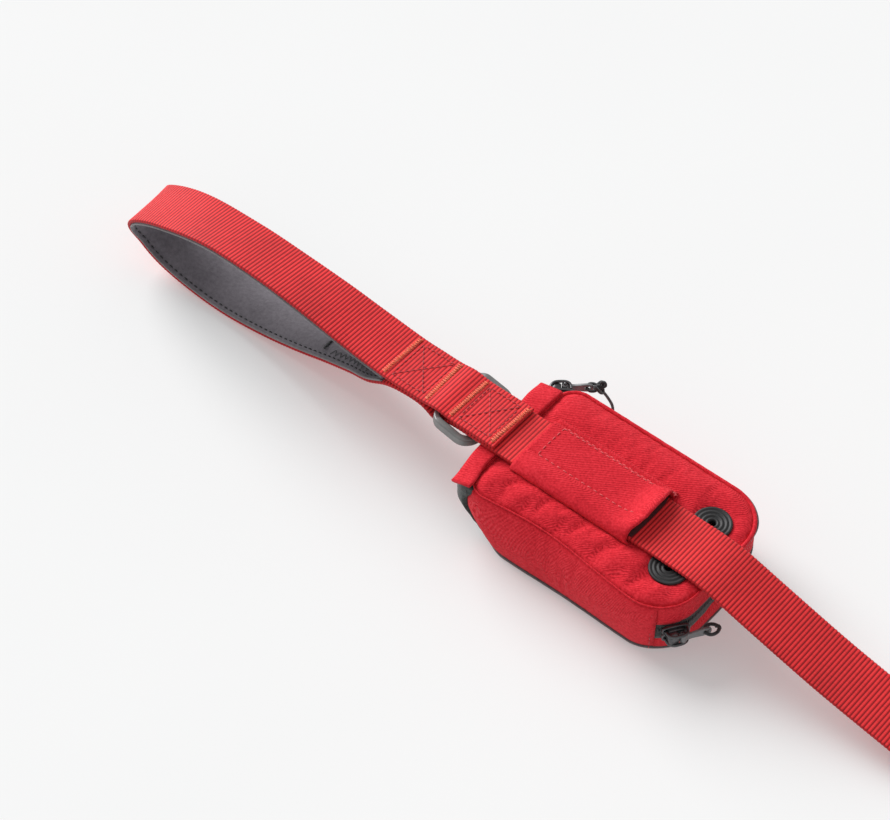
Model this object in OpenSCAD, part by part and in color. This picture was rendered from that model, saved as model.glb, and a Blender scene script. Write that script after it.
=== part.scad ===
// Dog lead: webbing hand loop with a soft lining, accessory ring, zipped fabric
// pouch sewn to the strap, and a swivel snap hook on the far end of the strap.
// Millimetres. +X runs along the lead from the hand loop to the hook, +Z is up,
// and the origin is the centre of the pouch's flat base.

/* [Webbing] */
// Width of the webbing
webbing_w = 25; // [24:0.5:25.5]
// Thickness of one layer of webbing
webbing_t = 1.9; // [1.6:0.1:1.9]
// Thickness of the hand loop's soft lining
lining_t = 2.8; // [1.5:0.1:3]
// Sideways place of the strap on the pouch
lead_y = -1.5; // [-2:0.5:0]

/* [Pouch] */
// Half of the pouch's length along the lead
pouch_half_l = 52; // [51.5:0.5:52.5]
// Half of the pouch's width across the lead
pouch_half_w = 33; // [32:0.5:34]
// Height of the seam around the top panel
side_h = 28.5; // [28:0.5:29]
// Thickness of the fabric walls
wall_t = 1.6; // [1.2:0.1:2]
// How far the left end leans in at the base
end_lean = 11; // [6:1:14]
// Corner radius at the zipped left end
left_r = 16; // [14:1:18]
// Corner radius at the zipped right end
right_r = 18; // [16:1:20]

/* [Ring] */
// Clear width inside the ring
ring_inner_w = 26; // [25.6:0.2:27]
// Thickness of the ring's flat section
ring_t = 3.8; // [3:0.1:4]
// Width of the ring's flat section
ring_band = 3.2; // [2.5:0.1:3.5]

/* [Snap hook] */
// Radius of the round bar that the hook is bent from
hook_bar_r = 3; // [2.6:0.1:3.1]
// Mean radius of the hook's bow
bow_r = 9; // [8.5:0.1:9.5]
// Clear length of the hook's straight side
bow_l = 22; // [20:1:24]

/* [Coiled strap] */
// Mean radius of the outermost turn
coil_outer_r = 112; // [110:1:114]
// Mean radius of the innermost turn
coil_inner_r = 86; // [84:1:88]

/* [Hidden] */

red = [0.83, 0.12, 0.15];
deep_red = [0.62, 0.08, 0.12];
orange = [0.93, 0.45, 0.28];
soft_grey = [0.36, 0.35, 0.36];
zip_grey = [0.22, 0.25, 0.25];
metal = [0.6, 0.6, 0.62];
black = [0.1, 0.1, 0.11];
eps = 0.01;

// ---- The strap's side view: [x, z] points of its middle line ----
// It starts at the sewn end on top of the stitched part, runs back over the hand
// loop, and returns underneath to the stitched part and the sleeve.
bartack_x = [-101, -80, -67.5, -47];
sewn_top = [[-45.5, 34.3], [-56, 34.3], [-66.5, 34.3], [-74, 35.4], [-81.5, 34.5], [-91, 34.5]];
hand_loop = [
    [-101, 34.7], [-120, 36.9], [-140, 39.9], [-162, 42.1], [-184, 42.9], [-203, 41.3],
    [-219, 37.6], [-232, 32.2], [-238.8, 26], [-240.2, 19], [-236.4, 12], [-226, 6],
    [-209, 2.3], [-190, 1.4], [-168, 4.3], [-146, 9.8], [-124, 17.6], [-110, 24.1]
];
under_run = [
    [-100, 30.2], [-91, 32.3], [-81.5, 32.2], [-74, 28.8], [-66.5, 32], [-56, 32.3],
    [-46, 32.3], [-34, 32.2], [-10, 32.2], [20, 32.2]
];
spline_steps = 4;
loop_first = len(sewn_top) * spline_steps;
under_first = (len(sewn_top) + len(hand_loop)) * spline_steps;
strap_line = smooth(concat(sewn_top, hand_loop, under_run), spline_steps);
lining_line = slice(strap_line, loop_first + 3, under_first - 3);
bartack_rise = [0.5, 0.5, 0.3, 0.1];
bartack_w = webbing_w - 4;
bartack_l = 2.2;
bartack_h = 0.6;
box_stitch_rise = [0.3, 0.05];
box_stitch_h = 0.35;
box_gap = 5;
thread_w = 0.6;
sewn_face_z = 35.3;
// The lining's own bartack: [x, z] on its upper face, slope, and [length, width, height]
lining_tack_at = [-136, 17.2];
lining_tack_slope = 20;
lining_tack = [2, 12, 0.8];

// ---- Free strap: [x, y, z, twist] points of its middle line ----
// Flat on the pouch, it comes down to the floor, turns on edge and runs into the coil.
strap_route = [
    [20, -1.5, 32.2, 0], [28, -1.5, 32.2, 0], [38, -1.5, 32.15, 0], [46, -1.5, 31.9, 0],
    [54, -1.5, 30.9, 0], [62, -1.5, 28.7, 0], [75, -1.5, 24.7, 0], [99, -1.5, 17.7, 0],
    [115, -1.5, 13.8, 0], [135, -1.5, 9.6, 0], [150, -1.5, 7.2, 3], [165, -1.5, 6.2, 10],
    [180, -1.5, 6.8, 20], [200, -1.5, 8.7, 34], [220, -1.5, 10.8, 49], [240, -1.5, 12.3, 65],
    [260, -1.5, 12.9, 79], [280, -1.5, 13, 88], [304, -1.5, 13, 90]
];
coil_centre = [320, lead_y + coil_outer_r, 0];
coil_h = webbing_w + 0.8;
tail_r = 50;
tail_centre = [coil_centre[0] - coil_inner_r + tail_r, coil_centre[1]];
tail_rings = 14;
tail_end_l = 1;
on_edge_z = 13;
hook_z = 6.5;
hook_y = tail_centre[1] - tail_r;
sewn_loop_l = 20;
hook_x = tail_centre[0] + tail_end_l + sewn_loop_l;

// ---- Pouch ----
base_t = 1.6;
lean_h = 16;
corner_steps = 12;
crown_z = 31;
end_zone_left = -(pouch_half_l - left_r);
end_zone_right = pouch_half_l - right_r + 2;
left_zip_z = 24;
left_zip_half = 3.8;
right_zip_z = 15;
right_zip_half = 4;
tape_inset = 0.5;
teeth_half = 0.8;
teeth_out = 0.3;
stop_size = [1.6, 1, 3.2];
side_reach = 7;
end_split_y = 21;
far_out = 80;
flap_near = -29;
flap_far = 27;
flap_l = 7.6;
flap_t = 0.55;
flap_rise = 0.84;
outlet_x = 37.5;
outlet_y = 13.4;
outlet_z = crown_z - 1.1;
outlet_r = 7.7;
outlet_neck_r = 6.4;
outlet_hole_r = 1.7;
outlet_depth = 1.5;
outlet_rings = [0.9, 0.5, 0.9, 0.5, 0.9, 0.5];
sleeve_x0 = -36;
sleeve_x1 = 20;
sleeve_t = 1.1;
sleeve_near = lead_y - webbing_w / 2 - 0.4;
sleeve_far = lead_y + webbing_w / 2 + 0.4;
sleeve_roof = 33.4;

// ---- Zip sliders: place on the corner arcs ----
left_arc = [-(pouch_half_l - left_r), pouch_half_w - left_r];
left_slider_at = 130;
right_arc = [pouch_half_l - right_r, -(pouch_half_w - right_r)];
right_slider_at = -31;
slider_l = 11;
slider_h = 7.4;
slider_gap = 0.8;
pull_pin = [1.5, 5];
pull_pin_r = 0.8;
pull_l = 11;
pull_t = 1.2;
pull_half_h = 2.1;
pull_hole_x = pull_l - 2.2;
pull_cord_r = 0.9;
pull_cord_l = 16;
running_gap = 0.08;

// ---- Ring ----
ring_bar = [-74, 32.15];
ring_bar_r = 1.8;
ring_reach = 19;
ring_tilt = 14.5;
ring_corner = 8;

// ---- Snap hook, along +X from the eye's bar ----
eye_bar_r = 2.2;
eye_inner_w = webbing_w + 1.4;
eye_l = 9.5;
eye_t = 5;
collar_l = 4;
shank_r = 2.6;
barrel_x = eye_l + collar_l + 0.3;
barrel_l = 7;
barrel_r = 6.4;
bow_x = barrel_x + barrel_l + bow_r - 1;
nose_x = bow_x + bow_l;
gate_r = 2.5;
gate_pin_r = 1.2;
gate_pin_h = 2 * hook_bar_r + 1.6;
gate_pivot_r = 2.8;
thumb_stud = [9, 5, 1.8];
eye_cross_l = 2.6;
head_gap = 1.8;
head_l = 1.6;
head_r = 3.9;

// ---- Curves ----
function lerp(a, b, t) = a + (b - a) * t;
function unit(v) = v / norm(v);
function slice(list, first, last) = [for (i = [first:last]) list[i]];
function knot(p, i) = p[max(0, min(len(p) - 1, i))];
function bend(a, b, c, d, t) =
    0.5 * (2 * b + (c - a) * t + (2 * a - 5 * b + 4 * c - d) * t * t
        + (3 * b - a - 3 * c + d) * t * t * t);
function smooth(p, n) = concat(
    [for (i = [0:len(p) - 2]) for (k = [0:n - 1])
        bend(knot(p, i - 1), knot(p, i), knot(p, i + 1), knot(p, i + 2), k / n)],
    [p[len(p) - 1]]);
function side_of(line, i) =
    let (d = unit(knot(line, i + 1) - knot(line, i - 1))) [-d[1], d[0]];
function ribbon(line, low, high) = concat(
    [for (i = [0:len(line) - 1]) line[i] + high * side_of(line, i)],
    [for (i = [len(line) - 1:-1:0]) line[i] + low * side_of(line, i)]);

// A strap whose side view is a ribbon along the line
module strap(line, low, high, width) {
    translate([0, lead_y, 0])
        rotate([90, 0, 0])
            linear_extrude(width, center = true) polygon(ribbon(line, low, high));
}

// ---- Flat strap swept along [x, y, z, twist] points ----
function place(p) = [p[0], p[1], p[2]];
function strap_section(w, t) = [
    [-w / 2, -t / 4], [-w / 2, t / 4], [-w / 2 + 0.5, t / 2], [w / 2 - 0.5, t / 2],
    [w / 2, t / 4], [w / 2, -t / 4], [w / 2 - 0.5, -t / 2], [-w / 2 + 0.5, -t / 2]
];
function ring_points(route, i, section) =
    let (ahead = unit(place(knot(route, i + 1)) - place(knot(route, i - 1))),
        side = unit(cross([0, 0, 1], ahead)),
        up = cross(ahead, side),
        tw = route[i][3],
        across = cos(tw) * side + sin(tw) * up,
        through = cos(tw) * up - sin(tw) * side)
    [for (s = section) place(route[i]) + s[0] * across + s[1] * through];

module swept_strap(route) {
    section = strap_section(webbing_w, webbing_t);
    n = len(section);
    rings = len(route);
    points = [for (i = [0:rings - 1]) for (p = ring_points(route, i, section)) p];
    sides = [for (i = [0:rings - 2]) for (k = [0:n - 1])
        let (a = i * n + k, b = i * n + (k + 1) % n)
        for (face = [[a, b, b + n], [a, b + n, a + n]]) face];
    first_cap = [for (k = [n - 1:-1:0]) k];
    last_cap = [for (k = [0:n - 1]) (rings - 1) * n + k];
    polyhedron(points, concat(sides, [first_cap, last_cap]), convexity = 6);
}

// ---- Pouch outline at a height ----
function left_x(z) = -pouch_half_l + end_lean * max(0, 1 - z / lean_h);
function arc_points(c, r, a0, a1) =
    [for (i = [0:corner_steps]) let (a = lerp(a0, a1, i / corner_steps))
        [c[0] + r * cos(a), c[1] + r * sin(a)]];
function outline(z, inset) =
    let (x0 = left_x(z) + inset, x1 = pouch_half_l - inset, y1 = pouch_half_w - inset,
        rl = left_r - inset, rr = right_r - inset)
    concat(
        arc_points([x1 - rr, -y1 + rr], rr, -90, 0), arc_points([x1 - rr, y1 - rr], rr, 0, 90),
        arc_points([x0 + rl, y1 - rl], rl, 90, 180), arc_points([x0 + rl, -y1 + rl], rl, 180, 270));

module slab(z, inset) {
    translate([0, 0, z]) linear_extrude(eps) polygon(outline(z, inset));
}

// The space inside the outline between two heights, in one or two straight-sided steps
module outline_solid(z0, z1, inset) {
    if (z0 < lean_h)
        hull() {
            slab(z0, inset);
            slab(min(z1, lean_h) - eps, inset);
        }
    if (z1 > lean_h)
        translate([0, 0, max(z0, lean_h)])
            linear_extrude(z1 - max(z0, lean_h)) polygon(outline(lean_h, inset));
}

module wall(z0, z1, outer = 0, inner = wall_t) {
    difference() {
        outline_solid(z0, z1, outer);
        outline_solid(z0 - eps, z1 + eps, inner);
    }
}

module zone(x0, x1, y0, y1) {
    translate([x0, y0, -far_out / 2]) cube([x1 - x0, y1 - y0, far_out]);
}

// ---- Hand loop and stitched part ----
module handle_webbing() {
    color(red) strap(slice(strap_line, 0, under_first), -webbing_t / 2, webbing_t / 2, webbing_w);
}

module handle_lining() {
    color(soft_grey)
        strap(lining_line, webbing_t / 2, webbing_t / 2 + lining_t, webbing_w - 1);
}

module lining_bartack() {
    color(black)
        translate([lining_tack_at[0], lead_y - 4, lining_tack_at[1]])
            rotate([0, -lining_tack_slope, 0])
                translate([-lining_tack[0] / 2, -lining_tack[1] / 2, 0]) cube(lining_tack);
}

module lead_webbing() {
    color(red)
        strap(slice(strap_line, under_first, len(strap_line) - 1),
            -webbing_t / 2, webbing_t / 2, webbing_w);
}

module bartack_at(x, y, z) {
    color(orange)
        translate([x - bartack_l / 2, y - bartack_w / 2, z])
            cube([bartack_l, bartack_w, bartack_h]);
}

module bartack(i) {
    bartack_at(bartack_x[i], lead_y, sewn_face_z + bartack_rise[i]);
}

// Sewn box with a cross inside, between two bartacks
module box_stitch(i) {
    x0 = bartack_x[2 * i];
    x1 = bartack_x[2 * i + 1];
    l = x1 - x0 - box_gap;
    w = webbing_w - box_gap - 1;
    cross_w = thread_w + 0.1;
    color(deep_red)
        translate([(x0 + x1) / 2, lead_y, sewn_face_z + box_stitch_rise[i]])
            linear_extrude(box_stitch_h) {
                difference() {
                    square([l, w], center = true);
                    square([l - 2 * thread_w, w - 2 * thread_w], center = true);
                }
                for (turn = [-1, 1])
                    rotate(turn * atan2(w - 1, l - 1))
                        square([norm([l - 1, w - 1]), cross_w], center = true);
            }
}

// ---- Ring: flat section with a round bar inside the webbing ----
module ring_plan(grow) {
    half = ring_inner_w / 2 + grow;
    r = ring_corner + grow;
    l = ring_reach - 2 + grow;
    polygon(concat(
        [[0, -half]], arc_points([l - r, -half + r], r, -90, 0),
        arc_points([l - r, half - r], r, 0, 90), [[0, half]]));
}

module ring() {
    outer_w = ring_inner_w + 2 * ring_band;
    color(metal)
        translate([ring_bar[0], lead_y, ring_bar[1]]) rotate([0, ring_tilt, 0]) {
            difference() {
                translate([0, 0, -ring_t / 2]) linear_extrude(ring_t) ring_plan(ring_band);
                translate([-1, 0, -ring_t / 2 - 1]) linear_extrude(ring_t + 2) ring_plan(0);
                translate([-eps, -ring_inner_w / 2, -ring_t])
                    cube([ring_band, ring_inner_w, 2 * ring_t]);
            }
            for (s = [-1, 1])
                translate([0, s * (outer_w / 2 - ring_band / 2), 0]) rotate([90, 0, 0])
                    cylinder(h = ring_band, r = ring_t / 2, center = true, $fn = 48);
            rotate([90, 0, 0])
                cylinder(h = ring_inner_w + ring_band, r = ring_bar_r, center = true, $fn = 48);
        }
}

// ---- Pouch ----
module pouch_base() {
    color(deep_red) linear_extrude(base_t) polygon(outline(0, 0));
}

module base_binding() {
    color(zip_grey) wall(base_t + 0.6, base_t + 1.8, -0.6, -0.05);
}

module side_near() {
    color(red) intersection() {
        wall(base_t, side_h);
        zone(end_zone_left - side_reach, end_zone_right, -far_out, -end_split_y);
    }
}

module side_far() {
    color(red) intersection() {
        wall(base_t, side_h);
        zone(end_zone_left - side_reach, end_zone_right, end_split_y, far_out);
    }
}

module end_left() {
    color(red) intersection() {
        wall(base_t, left_zip_z - left_zip_half);
        zone(-far_out, 0, -end_split_y, end_split_y);
    }
}

module end_right_lower() {
    color(red) intersection() {
        wall(base_t, right_zip_z - right_zip_half);
        zone(end_zone_right, far_out, -far_out, far_out);
    }
}

module end_right_upper() {
    color(red) intersection() {
        wall(right_zip_z + right_zip_half, side_h);
        zone(end_zone_right, far_out, -far_out, far_out);
    }
}

// The left zip runs round the end under the flap and down both corners
module left_zip_tape() {
    color(zip_grey) intersection() {
        wall(base_t, side_h, tape_inset);
        union() {
            translate([-far_out, -end_split_y, left_zip_z - left_zip_half])
                cube([far_out + end_zone_left - side_reach, 2 * end_split_y, far_out]);
            for (y = [-far_out, end_split_y])
                zone(-far_out, end_zone_left - side_reach, y, y + far_out - end_split_y);
        }
    }
}

module right_zip_tape() {
    color(zip_grey) intersection() {
        wall(right_zip_z - right_zip_half, right_zip_z + right_zip_half, tape_inset);
        zone(end_zone_right, far_out, -far_out, far_out);
    }
}

module left_zip_teeth() {
    color(black) intersection() {
        wall(left_zip_z - teeth_half, left_zip_z + teeth_half, -teeth_out, tape_inset);
        zone(-far_out, end_zone_left - side_reach, -far_out, far_out);
    }
}

module right_zip_teeth() {
    color(black) intersection() {
        wall(right_zip_z - teeth_half, right_zip_z + teeth_half, -teeth_out, tape_inset);
        zone(end_zone_right, far_out, -far_out, far_out);
    }
}

module left_zip_stop() {
    color(metal)
        translate([left_arc[0] + 3, pouch_half_w + 0.1, left_zip_z - stop_size[2] / 2])
            cube(stop_size);
}

module right_zip_stop() {
    color(metal)
        translate([right_arc[0] - 1.8, -pouch_half_w - 1.1, right_zip_z - stop_size[2] / 2])
            cube(stop_size);
}

module top_panel() {
    color(red) difference() {
        hull() {
            translate([0, 0, side_h]) linear_extrude(1) polygon(outline(side_h, 0));
            translate([0, 0, crown_z - eps]) linear_extrude(eps) polygon(outline(side_h, 11));
        }
        for (s = [-1, 1]) translate([outlet_x, s * outlet_y, 0]) {
            translate([0, 0, side_h - 1])
                cylinder(h = 5, r = outlet_neck_r + 0.1, $fn = 64);
            translate([0, 0, outlet_z - 0.02])
                cylinder(h = 5, r = outlet_r + 0.1, $fn = 64);
        }
    }
}

module rim_piping() {
    color(deep_red) wall(side_h + 0.1, side_h + 1.3, -0.9, -0.05);
}

// Lies over the rim seam and rises with the crowned panel
module end_flap() {
    color(red)
        translate([-pouch_half_l - 0.6, flap_far, side_h + 1.35]) rotate([90, 0, 0])
            linear_extrude(flap_far - flap_near) polygon([
                [0, 0], [flap_l, flap_rise], [flap_l, flap_rise + flap_t], [0, flap_t]
            ]);
}

module sleeve() {
    near_foot = 2;
    far_foot = 3.4;
    foot_z = crown_z + 0.05;
    color(red)
        translate([sleeve_x0, 0, 0]) rotate([90, 0, 90]) linear_extrude(sleeve_x1 - sleeve_x0)
            polygon([
                [sleeve_near - near_foot, foot_z], [sleeve_near, foot_z],
                [sleeve_near, sleeve_roof], [sleeve_far, sleeve_roof], [sleeve_far, foot_z],
                [sleeve_far + far_foot, foot_z], [sleeve_far + 1.4, sleeve_roof + sleeve_t],
                [sleeve_near - 0.9, sleeve_roof + sleeve_t]
            ]);
}

// Rows of stitches that sew the sleeve through the strap to the pouch
module sleeve_stitching() {
    z = sleeve_roof + sleeve_t + 0.02;
    pitch = 3;
    count = floor((sleeve_x1 - sleeve_x0 - 8) / pitch);
    color(orange) {
        for (y = [-6, 12], i = [0:count - 1])
            translate([sleeve_x0 + 6 + i * pitch, y, z]) cube([2, 0.5, 0.3]);
        for (j = [0:5])
            translate([sleeve_x0 + 4.6, -5.4 + j * pitch, z]) cube([0.5, 2, 0.3]);
    }
}

// Rubber outlet: stepped concentric rings around a small hole
module outlet() {
    step = (outlet_r - outlet_hole_r) / len(outlet_rings);
    color(black)
        rotate_extrude($fn = 64)
            polygon(concat(
                [[outlet_hole_r, -outlet_depth], [outlet_neck_r, -outlet_depth],
                    [outlet_neck_r, 0], [outlet_r, 0]],
                [for (i = [0:len(outlet_rings) - 1], k = [0, 1])
                    [outlet_r - (i + k) * step, outlet_rings[i]]]));
}

module outlet_near() {
    translate([outlet_x, -outlet_y, outlet_z]) outlet();
}

module outlet_far() {
    translate([outlet_x, outlet_y, outlet_z]) outlet();
}

// ---- Zip sliders: local +Y is outward, the pull points along local +X ----
module on_left_arc() {
    translate([left_arc[0], left_arc[1], left_zip_z]) rotate(left_slider_at - 90)
        translate([0, left_r, 0]) children();
}

module on_right_arc() {
    translate([right_arc[0], right_arc[1], right_zip_z]) rotate(right_slider_at - 90)
        translate([0, right_r, 0]) mirror([1, 0, 0]) children();
}

module rounded_plate(l, h, t, r) {
    rotate([-90, 0, 0]) linear_extrude(t)
        polygon(concat(
            arc_points([l / 2 - r, -h / 2 + r], r, -90, 0),
            arc_points([l / 2 - r, h / 2 - r], r, 0, 90),
            arc_points([-l / 2 + r, h / 2 - r], r, 90, 180),
            arc_points([-l / 2 + r, -h / 2 + r], r, 180, 270)));
}

module slider() {
    cheek_h = 0.8;
    cheek_z = pull_half_h + 0.5;
    color(metal) {
        translate([0, slider_gap, 0]) rounded_plate(slider_l, slider_h, 1.1, 2);
        translate([0, slider_gap + 1.1, 0]) rounded_plate(slider_l - 3, slider_h - 1.4, 1.3, 1.5);
        for (s = [-1, 1])
            translate([pull_pin[0] - 1.6, slider_gap + 2.3, s * cheek_z - cheek_h / 2])
                cube([3.2, pull_pin[1] - slider_gap - 1, cheek_h]);
        translate([pull_pin[0], pull_pin[1], 0])
            cylinder(h = 2 * cheek_z, r = pull_pin_r, center = true, $fn = 32);
    }
}

module pull_tab() {
    color(zip_grey) translate([pull_pin[0], pull_pin[1], 0]) difference() {
        union() {
            cylinder(h = 2 * pull_half_h, r = pull_pin_r + 0.7, center = true, $fn = 32);
            translate([pull_pin_r, -pull_t / 2, -pull_half_h])
                cube([pull_l - pull_pin_r, pull_t, 2 * pull_half_h]);
        }
        cylinder(h = 6, r = pull_pin_r + running_gap, center = true, $fn = 32);
        translate([pull_hole_x, 0, 0]) rotate([90, 0, 0])
            cylinder(h = 6, r = 1.2, center = true, $fn = 32);
    }
}

// Cord loop through the tab's hole, with its knot
module cord_loop(loop_r, cord_r) {
    translate([pull_pin[0] + pull_hole_x + loop_r, pull_pin[1], 0])
        rotate_extrude($fn = 48) translate([loop_r, 0]) circle(r = cord_r, $fn = 16);
    translate([pull_pin[0] + pull_hole_x + 2 * loop_r, pull_pin[1], 0])
        sphere(r = 2 * cord_r, $fn = 24);
}

module left_slider() {
    on_left_arc() slider();
}

module left_pull_tab() {
    on_left_arc() pull_tab();
}

module left_pull_cord() {
    loop_r = 2.4;
    color(black) on_left_arc() {
        cord_loop(loop_r, pull_cord_r);
        translate([pull_pin[0] + pull_hole_x + 2 * loop_r, pull_pin[1], -pull_cord_l])
            cylinder(h = pull_cord_l, r = pull_cord_r, $fn = 16);
    }
}

module right_slider() {
    on_right_arc() slider();
}

module right_pull_tab() {
    on_right_arc() pull_tab();
}

module right_pull_cord() {
    color(black) on_right_arc() cord_loop(2.6, pull_cord_r);
}

// ---- Free strap, coil and its sewn end ----
module lead_strap() {
    color(red) swept_strap(smooth(strap_route, 2));
}

module lead_coil() {
    r0 = coil_inner_r - webbing_t / 2;
    r1 = coil_outer_r + webbing_t / 2;
    color(red) translate(coil_centre) rotate_extrude($fn = 96)
        translate([r0, 0]) square([r1 - r0, coil_h]);
}

// The inner end curls in from the coil and turns flat again
module strap_tail() {
    curl = [for (i = [1:tail_rings])
        let (t = i / tail_rings, a = 180 + 90 * t, s = t * t * (3 - 2 * t))
        [tail_centre[0] + tail_r * cos(a), tail_centre[1] + tail_r * sin(a),
            lerp(on_edge_z, hook_z, s), lerp(90, 0, s)]];
    sewn_end = [hook_x - sewn_loop_l, hook_y, hook_z, 0];
    color(red) swept_strap(concat(curl, [sewn_end]));
}

// Webbing folded round the eye's bar and sewn to itself
module end_loop() {
    fold_r = eye_bar_r + running_gap + webbing_t;
    color(red) translate([0, hook_y, hook_z]) rotate([90, 0, 0])
        linear_extrude(webbing_w, center = true) difference() {
            union() {
                translate([hook_x, 0]) circle(r = fold_r, $fn = 48);
                translate([hook_x - sewn_loop_l, -webbing_t])
                    square([sewn_loop_l - eye_bar_r, 2 * webbing_t]);
            }
            translate([hook_x, 0]) circle(r = eye_bar_r + running_gap, $fn = 48);
        }
}

module end_bartack() {
    bartack_at(hook_x - 13, hook_y, hook_z + webbing_t + 0.02);
}

// ---- Swivel snap hook ----
module hook_frame() {
    translate([hook_x, hook_y, hook_z]) children();
}

module bar_x(x0, x1, y, r) {
    translate([x0, y, 0]) rotate([0, 90, 0]) cylinder(h = x1 - x0, r = r, $fn = 48);
}

module hook_eye() {
    w = eye_inner_w + 2 * eye_bar_r;
    color(metal) hook_frame() difference() {
        union() {
            rotate([90, 0, 0])
                cylinder(h = w, r = eye_bar_r, center = true, $fn = 48);
            for (s = [-1, 1])
                translate([-eye_bar_r, s * (w - eye_bar_r) / 2 - eye_bar_r / 2, -eye_t / 2])
                    cube([eye_l + eye_bar_r, eye_bar_r, eye_t]);
            translate([eye_l - eye_cross_l, -w / 2, -eye_t / 2]) cube([eye_cross_l, w, eye_t]);
            bar_x(eye_l - eye_cross_l, eye_l + collar_l, 0, barrel_r - 0.6);
        }
        bar_x(0, barrel_x, 0, shank_r + running_gap);
    }
}

// Bow, barrel and the shank that is headed inside the eye
module hook_body() {
    head_x = eye_l - eye_cross_l - head_gap;
    color(metal) hook_frame() difference() {
        union() {
            bar_x(head_x, head_x + head_l, 0, head_r);
            bar_x(head_x + 1, barrel_x + 1, 0, shank_r);
            bar_x(barrel_x, barrel_x + barrel_l, 0, barrel_r);
            bar_x(bow_x, nose_x, -bow_r, hook_bar_r);
            bar_x(nose_x - 2.5, nose_x, bow_r, hook_bar_r);
            translate([nose_x, 0, 0]) rotate([0, 0, -90]) rotate_extrude(angle = 180, $fn = 64)
                translate([bow_r, 0]) circle(r = hook_bar_r, $fn = 32);
            translate([bow_x, 0, 0]) rotate([0, 0, 90]) rotate_extrude(angle = 180, $fn = 64)
                translate([bow_r, 0]) circle(r = hook_bar_r, $fn = 32);
            translate([bow_x, bow_r, 0])
                cylinder(h = gate_pin_h, r = gate_pivot_r + 0.6, center = true, $fn = 48);
        }
        translate([bow_x - 4, bow_r - 4, -hook_bar_r + 0.4])
            cube([12, 8, 2 * hook_bar_r - 0.8]);
        translate([bow_x, bow_r, 0])
            cylinder(h = 12, r = gate_pin_r, center = true, $fn = 32);
    }
}

module gate_pin() {
    color(metal) hook_frame() translate([bow_x, bow_r, 0])
        cylinder(h = gate_pin_h, r = gate_pin_r, center = true, $fn = 32);
}

module hook_gate() {
    color(metal) hook_frame() translate([bow_x, bow_r, 0]) difference() {
        union() {
            cylinder(h = 2 * hook_bar_r - 1.4, r = gate_pivot_r, center = true, $fn = 48);
            bar_x(0, bow_l - 2.9, 0, gate_r - 0.2);
            translate([thumb_stud[0], 2, 0]) rotate([90, 0, 0])
                cylinder(h = thumb_stud[1], r = thumb_stud[2], center = true, $fn = 32);
        }
        cylinder(h = 12, r = gate_pin_r + running_gap, center = true, $fn = 32);
    }
}

handle_webbing();
handle_lining();
lining_bartack();
lead_webbing();
bartack(0);  // bartack_a
bartack(1);  // bartack_b
bartack(2);  // bartack_c
bartack(3);  // bartack_d
box_stitch(0);  // box_stitch_rear
box_stitch(1);  // box_stitch_front
ring();
pouch_base();
base_binding();
side_near();
side_far();
end_left();
end_right_lower();
end_right_upper();
left_zip_tape();
right_zip_tape();
left_zip_teeth();
right_zip_teeth();
left_zip_stop();
right_zip_stop();
top_panel();
rim_piping();
end_flap();
sleeve();
sleeve_stitching();
outlet_near();
outlet_far();
left_slider();
left_pull_tab();
left_pull_cord();
right_slider();
right_pull_tab();
right_pull_cord();
lead_strap();
lead_coil();
strap_tail();
end_loop();
end_bartack();
hook_eye();
hook_body();
hook_gate();
gate_pin();
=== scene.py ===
"""Looks of the dog lead with pouch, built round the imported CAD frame.

Points and sizes are in millimetres in the CAD frame, and build() turns them into metres.
"""

from math import cos, exp, hypot, pi, radians, sin

import bpy
import numpy as np
from mathutils import Matrix, Vector, geometry, noise


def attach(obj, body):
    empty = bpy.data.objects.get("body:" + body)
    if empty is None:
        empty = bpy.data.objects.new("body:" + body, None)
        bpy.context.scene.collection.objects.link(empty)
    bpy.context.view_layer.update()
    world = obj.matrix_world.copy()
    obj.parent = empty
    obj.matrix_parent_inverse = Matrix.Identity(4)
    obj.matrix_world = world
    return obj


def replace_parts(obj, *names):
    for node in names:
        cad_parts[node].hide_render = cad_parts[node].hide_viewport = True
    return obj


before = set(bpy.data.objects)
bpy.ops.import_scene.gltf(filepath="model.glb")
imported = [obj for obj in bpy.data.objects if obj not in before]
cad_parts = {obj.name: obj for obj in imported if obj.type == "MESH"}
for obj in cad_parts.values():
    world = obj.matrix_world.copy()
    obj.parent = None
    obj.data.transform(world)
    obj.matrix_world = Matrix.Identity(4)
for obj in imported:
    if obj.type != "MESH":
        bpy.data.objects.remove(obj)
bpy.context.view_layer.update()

MM = 0.001

# The same values as in the CAD source, but UNDER_RUN ends and STRAP_ROUTE starts at x = 12, not 20
WEB_T = 1.9
LEAD_Y = -1.5
HALF_L = 52.0
HALF_W = 33.0
END_LEAN = 11.0
LEAN_H = 16.0
LEFT_R = 16.0
RIGHT_R = 18.0
LEFT_ZIP_Z = 24.0
RIGHT_ZIP_Z = 15.0
RIGHT_ZIP_HALF = 4.0
OUTLET_X = 37.5
OUTLET_Y = 13.4
OUTLET_Z = 29.9
OUTLET_R = 7.7
SLEEVE_X0 = -36.0
SLEEVE_X1 = 20.0
RING_BAR = (-74.0, -1.5, 32.15)
PULL_PIN = (1.5, 5.0)
COIL_CENTRE = (320.0, 110.5)
COIL_OUTER = 112.0
COIL_INNER = 86.0
COIL_TURNS = 1.75
ON_EDGE_Z = 13.0
TAIL_CENTRE = (284.0, 110.5)
TAIL_R = 50.0
HOOK = (305.0, 60.5, 6.5)
BARTACK_X = (-101.0, -80.0, -67.5, -47.0)
SEWN_TOP = [(-45.5, 34.3), (-56, 34.3), (-66.5, 34.3), (-74, 35.4), (-81.5, 34.5), (-91, 34.5)]
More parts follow.
